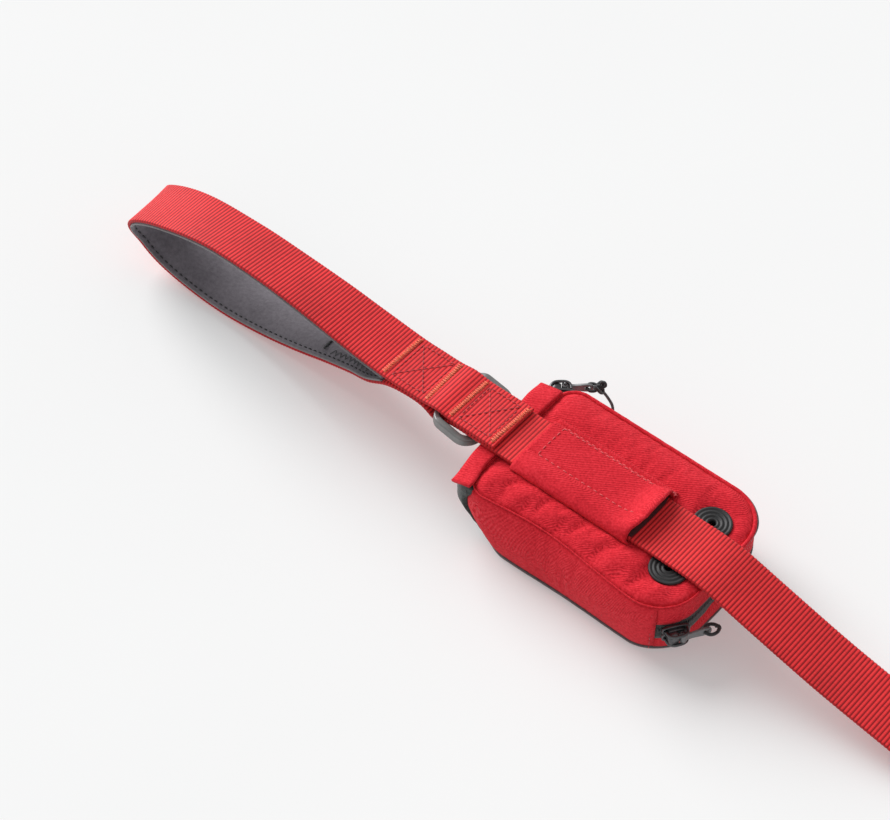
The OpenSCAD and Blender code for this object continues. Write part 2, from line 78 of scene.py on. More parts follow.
HAND_LOOP = [
    (-101, 34.7), (-120, 36.9), (-140, 39.9), (-162, 42.1), (-184, 42.9), (-203, 41.3),
    (-219, 37.6), (-232, 32.2), (-238.8, 26), (-240.2, 19), (-236.4, 12), (-226, 6),
    (-209, 2.3), (-190, 1.4), (-168, 4.3), (-146, 9.8), (-124, 17.6), (-110, 24.1),
]
UNDER_RUN = [
    (-100.0, 30.2), (-91, 32.3), (-81.5, 32.2), (-74, 28.8), (-66.5, 32), (-56, 32.3),
    (-46, 32.3), (-34, 32.2), (-10, 32.2), (12, 32.2),
]
STRAP_ROUTE = [
    (12, -1.5, 32.2, 0), (20, -1.5, 32.2, 0), (28, -1.5, 32.2, 0), (38, -1.5, 32.15, 0),
    (46, -1.5, 31.9, 0), (54, -1.5, 30.9, 0), (62, -1.5, 28.7, 0), (75, -1.5, 24.7, 0),
    (99, -1.5, 17.7, 0), (115, -1.5, 13.8, 0), (135, -1.5, 9.6, 0), (150, -1.5, 7.2, 3),
    (165, -1.5, 6.2, 10), (180, -1.5, 6.8, 20), (200, -1.5, 8.7, 34), (220, -1.5, 10.8, 49),
    (240, -1.5, 12.3, 65), (260, -1.5, 12.9, 79), (280, -1.5, 13, 88), (304, -1.5, 13, 90),
]

# The ring lies 3 degrees flatter than in the CAD, on a bar 0.05 mm thinner in radius
RING_TILT = 11.5
RING_BAR_R = 1.75

# ---- Camera ----
CAMERA_AT = (0.3587, -0.5238, 0.8469)
CAMERA_AZIMUTH = 40.0
CAMERA_ELEVATION = 50.53
CAMERA_LENS = 111.5


def set_camera():
    """Looks down at the object along a direction given by two angles."""
    a, e = radians(CAMERA_AZIMUTH), radians(CAMERA_ELEVATION)
    right = Vector((cos(a), sin(a), 0))
    back = Vector((sin(a) * cos(e), -cos(a) * cos(e), sin(e)))
    turn = Matrix((right, back.cross(right), back)).transposed().to_4x4()
    data = bpy.data.cameras.new("camera")
    data.lens = CAMERA_LENS
    data.clip_start = 0.01
    camera = bpy.data.objects.new("camera", data)
    camera.matrix_world = Matrix.Translation(CAMERA_AT) @ turn
    bpy.context.collection.objects.link(camera)
    bpy.context.scene.camera = camera


set_camera()


# ---- Small maths ----
def smooth01(t):
    """0 below 0 and 1 above 1, with a smooth rise between them."""
    t = np.clip(t, 0.0, 1.0)
    return t * t * (3 - 2 * t)


def unit(v):
    v = np.asarray(v, float)
    return v / np.maximum(np.linalg.norm(v, axis=-1, keepdims=True), 1e-9)


def wobble(p, scale, seed=0.0):
    """Smooth noise from -1 to 1 at a point."""
    return noise.noise(Vector((p[0] / scale + seed, p[1] / scale - seed, p[2] / scale + 2 * seed)))


def spline_span(a, b, c, d, steps):
    """Points of a smooth curve from b up to c, where a comes before them and d after."""
    return [0.5 * (2 * b + (c - a) * t + (2 * a - 5 * b + 4 * c - d) * t * t
                   + (3 * b - a - 3 * c + d) * t ** 3) for t in (k / steps for k in range(steps))]


def catmull(points, steps):
    """A smooth curve through all the points."""
    p = [np.array(q, float) for q in points]

    def knot(i):
        return p[max(0, min(len(p) - 1, i))]

    out = []
    for i in range(len(p) - 1):
        out += spline_span(*(knot(i + k) for k in (-1, 0, 1, 2)), steps)
    out.append(p[-1])
    return np.array(out)


def arc_lengths(line):
    """Distance along a line at each of its points."""
    steps = np.linalg.norm(np.diff(line[:, :3], axis=0), axis=1)
    return np.concatenate([[0.0], np.cumsum(steps)])


def oval(cx, cy, rx, ry, count=28):
    """Points round an ellipse."""
    turns = np.linspace(0, 2 * pi, count, endpoint=False)
    return [(cx + rx * cos(a), cy + ry * sin(a)) for a in turns]


def evenly(line, step):
    """The same line with its points one step apart."""
    line = np.asarray(line, float)
    s = arc_lengths(line)
    at = np.arange(0, s[-1], step)
    return np.stack([np.interp(at, s, line[:, k]) for k in range(line.shape[1])], axis=1)


def tangents(line):
    return unit(np.gradient(line[:, :3], axis=0))


# ---- Meshes ----
def add_object(name, data):
    """A new object in the scene."""
    made = bpy.data.objects.new(name, data)
    bpy.context.collection.objects.link(made)
    return made


def grid_faces(rows, cols, closed=False):
    """Four-sided faces between rows of points, which close on themselves if asked."""
    faces = []
    for i in range(rows - 1):
        for j in range(cols if closed else cols - 1):
            k = (j + 1) % cols
            faces.append((i * cols + j, i * cols + k, (i + 1) * cols + k, (i + 1) * cols + j))
    return faces


def capped_faces(rows, cols):
    """Faces of a closed skin of rows, shut at both ends."""
    ends = [tuple(range(cols - 1, -1, -1)), tuple(range((rows - 1) * cols, rows * cols))]
    return grid_faces(rows, cols, closed=True) + ends


def ring_faces(rows, cols):
    """Faces of a closed skin whose last row joins its first."""
    last = (rows - 1) * cols
    join = [(last + k, last + (k + 1) % cols, (k + 1) % cols, k) for k in range(cols)]
    return grid_faces(rows, cols, closed=True) + join


def merge(parts):
    """One set of points and faces from several."""
    verts, faces = [], []
    for v, f in parts:
        n = len(verts)
        verts += [tuple(p) for p in v]
        faces += [tuple(i + n for i in face) for face in f]
    return verts, faces


def tube(line, radius, sides=8, up=None, closed=False):
    """A tube along a line. radius is one number or one for each point."""
    line = np.asarray(line, float)
    n = len(line)
    r = np.full(n, radius, float) if np.isscalar(radius) else np.asarray(radius, float)
    if closed:
        ahead = unit(np.roll(line, -1, axis=0) - np.roll(line, 1, axis=0))
    else:
        ahead = tangents(line)
    ref = np.array([0.0, 0.0, 1.0] if up is None else up)
    verts = []
    side = np.cross(ref, ahead[0])
    if np.linalg.norm(side) < 0.1:
        side = np.cross([1.0, 0.0, 0.0], ahead[0])
    for i in range(n):
        side = unit(side - ahead[i] * np.dot(side, ahead[i]))
        lift = np.cross(ahead[i], side)
        for k in range(sides):
            a = 2 * pi * k / sides
            verts.append(line[i] + r[i] * (cos(a) * side + sin(a) * lift))
    return verts, ring_faces(n, sides) if closed else capped_faces(n, sides)


def build(name, verts, faces, material, body="lead", uv=None, slot=None):
    """A piece from points in millimetres, riding on a body."""
    mesh = bpy.data.meshes.new(name)
    mesh.from_pydata([tuple(float(c) * MM for c in v) for v in verts], [], faces)
    mesh.validate()
    mesh.polygons.foreach_set("use_smooth", [True] * len(mesh.polygons))
    if uv is not None:
        layer = mesh.uv_layers.new(name="cloth")
        index = np.zeros(len(mesh.loops), np.int32)
        mesh.loops.foreach_get("vertex_index", index)
        layer.data.foreach_set("uv", np.asarray(uv, np.float32)[index].ravel())
    mesh.update()
    piece = add_object(name, mesh)
    mesh.materials.append(MATERIALS[material])
    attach(piece, body)
    return piece


def with_modifier(piece, kind, **values):
    """Adds a modifier and bakes it into the mesh."""
    modifier = piece.modifiers.new(kind.lower(), kind)
    for key, value in values.items():
        setattr(modifier, key, value)
    bpy.context.view_layer.update()
    shown = piece.evaluated_get(bpy.context.evaluated_depsgraph_get())
    mesh = bpy.data.meshes.new_from_object(shown)
    piece.modifiers.clear()
    piece.data = mesh
    return piece


# ---- Materials ----
class Shader:
    """A node material in the making: each call adds one node and returns its output."""

    def __init__(self, name, roughness, metallic=0.0, sheen=0.0, specular=0.5):
        self.material = bpy.data.materials.new(name)
        self.material.use_nodes = True
        self.nodes = self.material.node_tree.nodes
        self.links = self.material.node_tree.links
        self.surface = self.nodes["Principled BSDF"].inputs
        self.surface["Roughness"].default_value = roughness
        self.surface["Metallic"].default_value = metallic
        self.surface["Sheen Weight"].default_value = sheen
        self.surface["Specular IOR Level"].default_value = specular

    def place(self):
        return self.nodes.new("ShaderNodeTexCoord").outputs["Object"]

    def strap_uv(self):
        node = self.nodes.new("ShaderNodeUVMap")
        node.uv_map = "cloth"
        return node.outputs["UV"]

    def split(self, vector):
        node = self.nodes.new("ShaderNodeSeparateXYZ")
        self.links.new(vector, node.inputs[0])
        return node.outputs

    def join(self, *values):
        node = self.nodes.new("ShaderNodeCombineXYZ")
        for socket, value in zip(node.inputs, values):
            self.put(socket, value)
        return node.outputs[0]

    def put(self, socket, value):
        if isinstance(value, (int, float, tuple)):
            socket.default_value = value
        else:
            self.links.new(value, socket)

    def math(self, kind, *values):
        node = self.nodes.new("ShaderNodeMath")
        node.operation = kind
        for socket, value in zip(node.inputs, values):
            self.put(socket, value)
        return node.outputs[0]

    def add(self, a, b):
        return self.math("ADD", a, b)

    def mul(self, a, b):
        return self.math("MULTIPLY", a, b)

    def noise(self, vector, scale, detail=2.0, roughness=0.5):
        node = self.nodes.new("ShaderNodeTexNoise")
        self.links.new(vector, node.inputs["Vector"])
        node.inputs["Scale"].default_value = scale
        node.inputs["Detail"].default_value = detail
        node.inputs["Roughness"].default_value = roughness
        return node.outputs[0]

    def ramp(self, value, stops):
        node = self.nodes.new("ShaderNodeValToRGB")
        elements = node.color_ramp.elements
        while len(elements) < len(stops):
            elements.new(0.5)
        for element, (at, colour) in zip(elements, stops):
            element.position = at
            element.color = (*colour, 1)
        self.links.new(value, node.inputs[0])
        return node.outputs[0]

    def mix(self, kind, factor, a, b):
        node = self.nodes.new("ShaderNodeMix")
        node.data_type = "RGBA"
        node.blend_type = kind
        self.put(node.inputs["Factor"], factor)
        self.put(node.inputs[6], a)
        self.put(node.inputs[7], b)
        return node.outputs[2]

    def colour(self, value):
        self.links.new(value, self.surface["Base Color"])

    def rough(self, value):
        self.links.new(value, self.surface["Roughness"])

    def bump(self, height, distance):
        node = self.nodes.new("ShaderNodeBump")
        node.inputs["Strength"].default_value = 1.0
        node.inputs["Distance"].default_value = distance
        self.links.new(height, node.inputs["Height"])
        self.links.new(node.outputs[0], self.surface["Normal"])


RIB_PITCH = 1.56
SELVEDGE_V = 12.1


def webbing_material(name, gap, deep, mid, top):
    """Ribs across the strap, with the colour darkening from the rib tops into the gaps: painted shade
    between the ribs. The UV map holds millimetres along and across.
    """
    m = Shader(name, 0.65, sheen=0.05, specular=0.3)
    u, v, _ = m.split(m.strap_uv())
    rib = m.mul(m.math("PINGPONG", m.math("DIVIDE", u, RIB_PITCH), 0.5), 2.0)
    # The gap and deep colours are painted shade in the grooves between the ribs
    face = m.ramp(rib, [(0.0, gap), (0.2, deep), (0.45, mid), (0.9, top)])
    edge = m.math("GREATER_THAN", m.math("ABSOLUTE", v), SELVEDGE_V)
    base = m.mix("MIX", m.mul(edge, 0.7), face, (*deep, 1.0))
    yarn = m.noise(m.join(m.mul(u, 0.25), m.mul(v, 2.2), 0.0), 1.0, 3.0)
    patch = m.noise(m.join(u, v, 3.0), 0.05)
    shade = m.add(m.mul(yarn, 0.55), m.mul(patch, 0.45))
    tint = m.ramp(shade, [(0.3, (0.72, 0.7, 0.7)), (0.55, (1.0, 1.0, 1.0)), (0.75, (1.12, 1.25, 1.2))])
    m.colour(m.mix("MULTIPLY", 1.0, base, tint))
    fine = m.math("SINE", m.mul(v, 9.0))
    m.bump(m.add(m.mul(fine, 0.25), m.mul(yarn, 0.9)), 0.00012)
    return m.material


WEAVE_PITCH = 0.85


def cloth_material(name, dark, mid, light):
    """Plain weave that follows the object's own axes, with soft blotches."""
    m = Shader(name, 0.8, sheen=0.04, specular=0.15)
    place = m.place()
    x, y, z = m.split(place)
    up = m.split(m.nodes.new("ShaderNodeNewGeometry").outputs["Normal"])[2]
    z = m.mul(z, m.math("SUBTRACT", 1.0, m.math("POWER", m.math("ABSOLUTE", up), 0.5)))
    lean = m.mul(m.math("SUBTRACT", x, y), 0.71)
    row = m.mul(m.add(lean, z), 2 * pi / (WEAVE_PITCH * MM))
    cross = m.mul(m.add(m.add(x, y), z), 4 * pi / (WEAVE_PITCH * MM))
    weave = m.add(m.math("SINE", row), m.mul(m.math("SINE", cross), 0.4))
    blotch = m.noise(place, 35.0)
    grain = m.noise(place, 1100.0)
    shade = m.add(m.mul(weave, 0.06), m.add(m.mul(blotch, 0.3), m.mul(grain, 0.7)))
    m.colour(m.ramp(shade, [(0.3, dark), (0.5, mid), (0.7, light)]))
    m.bump(m.add(m.mul(weave, 0.4), grain), 0.00013)
    return m.material


def knit_material(name, dark, light, scale=650.0, rough=0.9):
    """Fine knit or tape without a clear direction."""
    m = Shader(name, rough, sheen=0.35, specular=0.2)
    place = m.place()
    grain = m.noise(place, scale, 3.0, 0.7)
    blotch = m.noise(place, 60.0)
    shade = m.add(m.mul(grain, 0.6), m.mul(blotch, 0.4))
    m.colour(m.ramp(shade, [(0.35, dark), (0.65, light)]))
    m.bump(grain, 0.00018)
    return m.material


def thread_material(name, dark, light):
    """Sewing thread, lighter and darker with its twist."""
    m = Shader(name, 0.55, sheen=0.3, specular=0.4)
    place = m.place()
    twist = m.noise(place, 1400.0, 1.0)
    m.colour(m.ramp(twist, [(0.35, dark), (0.65, light)]))
    m.bump(twist, 0.00008)
    return m.material


def metal_material(name, dark, light, rough, metallic=1.0):
    """Cast or plated metal with uneven gloss."""
    m = Shader(name, rough, metallic=metallic)
    place = m.place()
    cast = m.noise(place, 220.0, 4.0, 0.6)
    m.colour(m.ramp(cast, [(0.3, dark), (0.7, light)]))
    m.rough(m.add(m.mul(cast, 0.2), rough - 0.1))
    m.bump(m.noise(place, 1800.0), 0.00002)
    return m.material


def rubber_material(name):
    """Matt black rubber with a little dust."""
    m = Shader(name, 0.6, specular=0.45)
    place = m.place()
    speckle = m.noise(place, 800.0)
    dust = m.noise(place, 120.0, 4.0)
    m.colour(m.ramp(dust, [(0.4, (0.012, 0.012, 0.013)), (0.75, (0.035, 0.034, 0.036))]))
    m.rough(m.add(m.mul(dust, 0.25), 0.42))
    m.bump(speckle, 0.00006)
    return m.material


def tape_material(name):
    """Zip tape: fine rows along and across the corners."""
    m = Shader(name, 0.75, sheen=0.2, specular=0.3)
    place = m.place()
    x, y, z = m.split(place)
    rows = m.math("SINE", m.mul(z, 2 * pi / (0.7 * MM)))
    over = m.math("SINE", m.mul(m.add(x, y), 2 * pi / (0.9 * MM)))
    grain = m.noise(place, 900.0)
    weave = m.add(m.mul(m.mul(rows, over), 0.25), grain)
    m.colour(m.ramp(weave, [(0.25, (0.010, 0.015, 0.014)), (0.75, (0.058, 0.070, 0.066))]))
    m.bump(weave, 0.0002)
    return m.material


FLOOR_GLOW = 0.245


def floor_material(name):
    """Pale and even, with a little glow of its own so that it reads almost white."""
    m = Shader(name, 0.95, specular=0.0)
    shade = m.noise(m.place(), 6.0, 1.0)
    m.colour(m.ramp(shade, [(0.3, (0.642, 0.645, 0.645)), (0.7, (0.652, 0.655, 0.655))]))
    m.surface["Emission Color"].default_value = (1, 1, 1, 1)
    m.surface["Emission Strength"].default_value = FLOOR_GLOW
    return m.material


LOOKS = {
    # Webbing colours from the gap between ribs to the rib top; the dark gap colours are painted shade
    "webbing_red": (webbing_material, (0.12, 0.002, 0.004), (0.42, 0.007, 0.012),
                    (0.76, 0.017, 0.023), (0.95, 0.040, 0.045)),
    "pack_cloth": (cloth_material, (0.50, 0.008, 0.018), (0.69, 0.017, 0.031), (0.82, 0.036, 0.055)),
    # Nearly black red cloth for the sheet inside the sleeve's mouth: painted shade
    "painted_shade_cloth": (knit_material, (0.045, 0.008, 0.009), (0.10, 0.014, 0.016), 900.0),
    "lining_grey": (knit_material, (0.140, 0.126, 0.144), (0.22, 0.200, 0.224)),
    "lining_edge": (knit_material, (0.17, 0.165, 0.17), (0.27, 0.26, 0.27), 900.0),
    "binding_grey": (knit_material, (0.10, 0.095, 0.098), (0.17, 0.16, 0.165), 900.0),
    "thread_black": (thread_material, (0.006, 0.006, 0.007), (0.03, 0.03, 0.032)),
    "thread_grey": (thread_material, (0.03, 0.034, 0.036), (0.10, 0.11, 0.11)),
    "thread_orange": (thread_material, (1.0, 0.12, 0.045), (1.0, 0.235, 0.12)),
    "thread_dark_red": (thread_material, (0.34, 0.012, 0.018), (0.56, 0.03, 0.036)),
    "thread_red": (thread_material, (0.66, 0.05, 0.06), (0.80, 0.11, 0.12)),
    "ring_metal": (metal_material, (0.20, 0.20, 0.20), (0.28, 0.28, 0.275), 0.42, 0.6),
    "hook_metal": (metal_material, (0.42, 0.42, 0.43), (0.58, 0.58, 0.59), 0.32),
    "slider_metal": (metal_material, (0.07, 0.07, 0.075), (0.14, 0.14, 0.145), 0.3, 0.85),
    "tab_grey": (metal_material, (0.16, 0.165, 0.17), (0.26, 0.265, 0.27), 0.45, 0.5),
    "zip_teeth": (metal_material, (0.02, 0.023, 0.024), (0.05, 0.055, 0.056), 0.5, 0.0),
    "zip_tape": (tape_material,),
    "outlet_rubber": (rubber_material,),
    "pull_cord": (knit_material, (0.02, 0.02, 0.022), (0.06, 0.062, 0.065), 1200.0, 0.7),
    "floor": (floor_material,),
}
MATERIALS = {name: make(name, *values) for name, (make, *values) in LOOKS.items()}

# ---- Webbing ----
RIB_STEPS = 4
RIB_DEPTH = 0.17
# Half of the section from edge to middle: place across, height over the middle line
SECTION = [(12.5, 0.0), (12.38, 0.5), (12.05, 0.8), (11.5, 0.93), (4.0, 0.97)]


def web_section(u):
    """The section of ribbed webbing at a distance along it: (across, height) round the outside."""
    rib = abs(sin(pi * u / RIB_PITCH)) ** 0.7
    half = [(v - 0.1 * (1 - rib) * (h < 0.9), h - RIB_DEPTH * (1 - rib) * (h > 0)) for v, h in SECTION]
    top = [(-v, h) for v, h in half] + [(v, h) for v, h in reversed(half)]
    bottom = [(v, -h) for v, h in half[1:]] + [(-v, -h) for v, h in reversed(half[1:])]
    return top + bottom


def webbing(name, centres, across, up, start_u=0.0):
    """A ribbed strap along centres, with its width along across and its face along up."""
    s = arc_lengths(centres) + start_u
    verts, uvs = [], []
    for c, a, n, u in zip(centres, across, up, s):
        for v, h in web_section(u):
            verts.append(c + a * v + n * h)
            uvs.append((u, v))
    return build(name, verts, capped_faces(len(centres), len(web_section(0.0))), "webbing_red", uv=uvs)


def twisted_frames(line):
    """Across and up for [x, y, z, twist] points, as the CAD strap has them."""
    ahead = tangents(line)
    side = unit(np.cross([0.0, 0.0, 1.0], ahead))
    up = np.cross(ahead, side)
    turn = np.radians(line[:, 3:4])
    return np.cos(turn) * side + np.sin(turn) * up, np.cos(turn) * up - np.sin(turn) * side


def free_strap_line():
    """[x, y, z, twist] points: out of the sleeve, down, round the coil, and in to the hook."""
    lead_in = catmull(STRAP_ROUTE, 10)
    last_x = COIL_CENTRE[0]
    straight = [(x, LEAD_Y, ON_EDGE_Z, 90.0) for x in np.linspace(304, last_x, 6)[1:-1]]
    spiral = []
    for t in np.linspace(0, 1, 500):
        a = radians(-90 + 360 * COIL_TURNS * t)
        r = COIL_OUTER + (COIL_INNER - COIL_OUTER) * t
        spiral.append((last_x + r * cos(a), COIL_CENTRE[1] + r * sin(a), ON_EDGE_Z, 90.0))
    tail = []
    for t in np.linspace(0, 1, 60)[1:]:
        a = radians(180 + 90 * t)
        s = smooth01(t)
        tail.append((TAIL_CENTRE[0] + TAIL_R * cos(a), TAIL_CENTRE[1] + TAIL_R * sin(a),
                     ON_EDGE_Z + (HOOK[2] - ON_EDGE_Z) * s, 90 * (1 - s)))
    tail.append((HOOK[0] - 20, HOOK[1], HOOK[2], 0.0))
    return evenly(np.vstack([lead_in, straight, spiral, tail]), RIB_PITCH / RIB_STEPS)


def make_free_strap():
    line = free_strap_line()
    across, up = twisted_frames(line)
    strap = webbing("free_strap", line[:, :3], across, up)
    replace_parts(strap, "lead_strap", "lead_coil", "strap_tail")
    return strap, line


def make_end_loop():
    """The strap's end, passed through the hook's eye and sewn down on itself."""
    x, y, z = HOOK
    wrap = 3.25
    path = [(x - 21, z), (x - 17, z - 0.5), (x - 13, z - 0.95), (x - 8, z - 1.1), (x - 4, z - 2.1)]
    turns = np.radians([-110, -70, -35, 0, 35, 70, 110])
    path += [(x + wrap * cos(a), z + wrap * sin(a)) for a in turns]
    path += [(x - 4, z + 2.2), (x - 8, z + 1.15), (x - 12, z + 0.97), (x - 18.5, z + 1.0)]
    line = evenly(np.array([(px, y, pz) for px, pz in catmull(path, 8)]), RIB_PITCH / RIB_STEPS)
    across = np.tile([0.0, 1.0, 0.0], (len(line), 1))
    up = np.cross(tangents(line), across)
    loop = webbing("sewn_end_loop", line, across, -up)
    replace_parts(loop, "end_loop")
    return loop


free_strap, free_line = make_free_strap()
end_loop = make_end_loop()


# ---- Stitches ----
def stitch(a, b, normal, radius, lift):
    """One thread from a to b, arched over the cloth."""
    a, b, normal = np.asarray(a, float), np.asarray(b, float), np.asarray(normal, float)
    heights = [-0.6 * radius, 0.55 * lift, lift, 0.55 * lift, -0.6 * radius]
    widths = [0.45, 0.9, 1.0, 0.9, 0.45]
    line = [a + (b - a) * t + normal * h for t, h in zip((0, 0.14, 0.5, 0.86, 1), heights)]
    return tube(line, [radius * w for w in widths], sides=6, up=normal)


def stitch_row(line, normals, length, gap, radius, lift=0.25):
    """Stitches along a line of points with a normal at each."""
    line, normals = np.asarray(line, float), np.asarray(normals, float)
    s = arc_lengths(line)
    parts, at = [], 0.0

    def on(q):
        return (np.array([np.interp(q, s, line[:, k]) for k in range(3)]),
                unit([np.interp(q, s, normals[:, k]) for k in range(3)]))

    while at + length < s[-1]:
        (a, n), (b, _) = on(at), on(at + length)
        parts.append(stitch(a, b, n, radius, lift))
        at += length + gap
    return parts


def zigzag(start, end, out, width, turns, radius, seed):
    """A dense bartack thread between two points; out is its normal."""
    start, end, out = (np.asarray(p, float) for p in (start, end, out))
    ahead = unit(end - start)
    side = np.cross(out, ahead)
    line = []
    for i in range(turns * 2 + 1):
        t = i / (turns * 2)
        swing = (0.5 if i % 2 else -0.5) * width
        swing += 0.22 * wobble((i * 3.1, seed, 0.0), 2.0)
        line.append(start + (end - start) * t + side * swing + out * (0.12 * sin(i * 1.7 + seed)))
    return tube(line, radius, sides=6, up=out)


TACK_W = 1.7
TACK_TURNS = 36


def cross_tack(x, y0, y1, z, lean, radius, seed):
    """A bartack across a strap: two zigzag threads side by side."""
    parts = []
    for d in (-0.1, 0.12):
        ends = (x - lean + d, y0, z), (x + lean + d, y1, z)
        parts.append(zigzag(*ends, (0, 0, 1), TACK_W, TACK_TURNS, radius, seed + d))
    return merge(parts)


# ---- Rear strap: stitched part and hand loop ----
def rear_line():
    """[x, y, z] points from the sewn end, over and round the hand loop, and back to the sleeve."""
    flat = catmull(SEWN_TOP + HAND_LOOP + UNDER_RUN, 12)
    x, z = flat[:, 0], flat[:, 1]
    y = LEAD_Y + 4.3 * smooth01((33 - z) / 22) * smooth01((-99 - x) / 20)
    return evenly(np.stack([x, y, z], axis=1), RIB_PITCH / RIB_STEPS)


def rear_frames(line):
    """Across and inward directions, with the loop's slight turn at its tip and its tipped top."""
    x, z = line[:, 0], line[:, 2]
    over = np.arange(len(line)) < np.argmin(x)
    yaw = -0.06 * smooth01((-190 - x) / 45)
    roll = -0.14 * smooth01((x + 222) / 35) * (1 - smooth01((x + 168) / 60)) * over
    across = unit(np.stack([yaw, np.ones(len(x)), roll], axis=1))
    ahead = tangents(line)
    across = unit(across - ahead * (across * ahead).sum(1, keepdims=True))
    return across, np.cross(ahead, across)


rear = rear_line()
rear_across, rear_in = rear_frames(rear)
rear_strap = webbing("rear_strap", rear, rear_across, rear_in, start_u=0.3)
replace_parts(rear_strap, "handle_webbing", "lead_webbing")

tip = int(np.argmin(rear[:, 0]))
loop_first = int(np.argmax(rear[:, 0] < -100.6))
loop_last = len(rear) - 1 - int(np.argmax(rear[::-1, 0] < -100.2))


def on_rear(i, v, h):
    """A point on the rear strap: v across, h towards the inside of the loop."""
    return rear[i] + rear_across[i] * v + rear_in[i] * h


def make_lining():
    """Foam-backed knit, thinner at its edges and pulled in along the stitching."""
    profile = [(-12.0, 0.0), (-12.2, 0.5), (-12.0, 1.0), (-11.3, 1.15), (-10.6, 0.95), (-9.8, 1.35),
               (-7.0, 2.4), (-2.5, 2.9), (2.5, 2.9), (7.0, 2.4), (9.8, 1.35), (10.6, 0.95),
               (11.3, 1.15), (12.0, 1.0), (12.2, 0.5), (12.0, 0.0)]
    verts = []
    rows = range(loop_first, loop_last + 1, 3)
    for i in rows:
        ends = smooth01(min(i - loop_first, loop_last - i) / 60)
        for v, h in profile:
            puff = 0.12 * wobble((i * 0.4, v * 1.5, 3.0), 9.0)
            verts.append(on_rear(i, v, WEB_T / 2 - 0.1 + (h + puff * (h > 1.8)) * (0.35 + 0.65 * ends)))
    lining = build("hand_lining", verts, capped_faces(len(rows), len(profile)), "lining_grey")
    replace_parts(lining, "handle_lining")
    edge = [tube([on_rear(i, s * 12.2, WEB_T / 2 + 0.5) for i in rows], 0.42, sides=6) for s in (-1, 1)]
    build("lining_edge", *merge(edge), "lining_edge", slot="lining_grey")
    parts = []
    for s in (-1, 1):
        line = [on_rear(i, s * 10.5, WEB_T / 2 + 0.9) for i in rows]
        parts += stitch_row(line, [rear_in[i] for i in rows], 1.7, 1.1, 0.27, 0.3)
    build("lining_stitches", *merge(parts), "thread_black")


def make_lining_bartack():
    """The lining's end: one black bartack and the seam that runs on from it."""
    under = np.arange(len(rear)) > tip
    i = int(np.argmin(np.abs(rear[:, 0] + 137) + 1000 * ~under))
    tack = zigzag(on_rear(i, -9.0, 3.5), on_rear(i, 0.5, 3.95), rear_in[i], TACK_W, 14, 0.25, 2.0)
    mesh = []
    j = i + 10
    while j < loop_last - 26:
        ends = 0.35 + 0.65 * smooth01((loop_last - j) / 60)
        a, b = on_rear(j, -9.7, 0.85 + 1.35 * ends), on_rear(j + 6, -7.2, 0.85 + 2.4 * ends)
        c = on_rear(j + 9, -9.7, 0.85 + 1.35 * ends)
        mesh += [stitch(a, b, rear_in[j], 0.15, 0.2), stitch(b, c, rear_in[j], 0.15, 0.2)]
        j += 8
    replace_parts(build("lining_bartack_thread", *tack, "thread_black"), "lining_bartack")
    build("lining_mesh_stitches", *merge(mesh), "thread_grey", slot="thread_black")


make_lining()
make_lining_bartack()

sewn_layer = rear[:loop_first]


def top_of_sewn(x):
    """Height of the top face of the stitched part."""
    return float(np.interp(-x, -sewn_layer[:, 0], sewn_layer[:, 2])) + WEB_T / 2


def make_bartacks():
    """Four dense orange bartacks across the stitched part."""
    for k, x in enumerate(BARTACK_X):
        lean = (0.3, -0.4, 0.2, 0.5)[k]
        tack = cross_tack(x, LEAD_Y - 10.8, LEAD_Y + 10.6, top_of_sewn(x) + 0.08, lean, 0.29, k)
        name = "bartack_" + "abcd"[k]
        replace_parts(build("thread_" + name, *tack, "thread_orange"), name)


def make_box_stitches():
    """A sewn box with a cross between each pair of bartacks."""
    for name, x0, x1 in (("box_stitch_rear", -98.2, -82.6), ("box_stitch_front", -64.8, -49.6)):
        y0, y1 = LEAD_Y - 9.6, LEAD_Y + 9.4
        corners = [(x0, y0), (x1, y0), (x1, y1), (x0, y1)]
        runs = [(corners[i], corners[(i + 1) % 4]) for i in range(4)]
        runs += [(corners[0], corners[2]), (corners[1], corners[3])]
        parts = []
        for a, b in runs:
            line = []
            for t in np.linspace(0, 1, 24):
                x, y = a[0] + (b[0] - a[0]) * t, a[1] + (b[1] - a[1]) * t
                line.append((x, y + 0.15 * wobble((x, y, 0), 3.0), top_of_sewn(x) - 0.06))
            parts += stitch_row(line, [(0, 0, 1)] * len(line), 1.9, 0.55, 0.26, 0.14)
        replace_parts(build("thread_" + name, *merge(parts), "thread_dark_red", slot="thread_red"), name)


make_bartacks()
make_box_stitches()


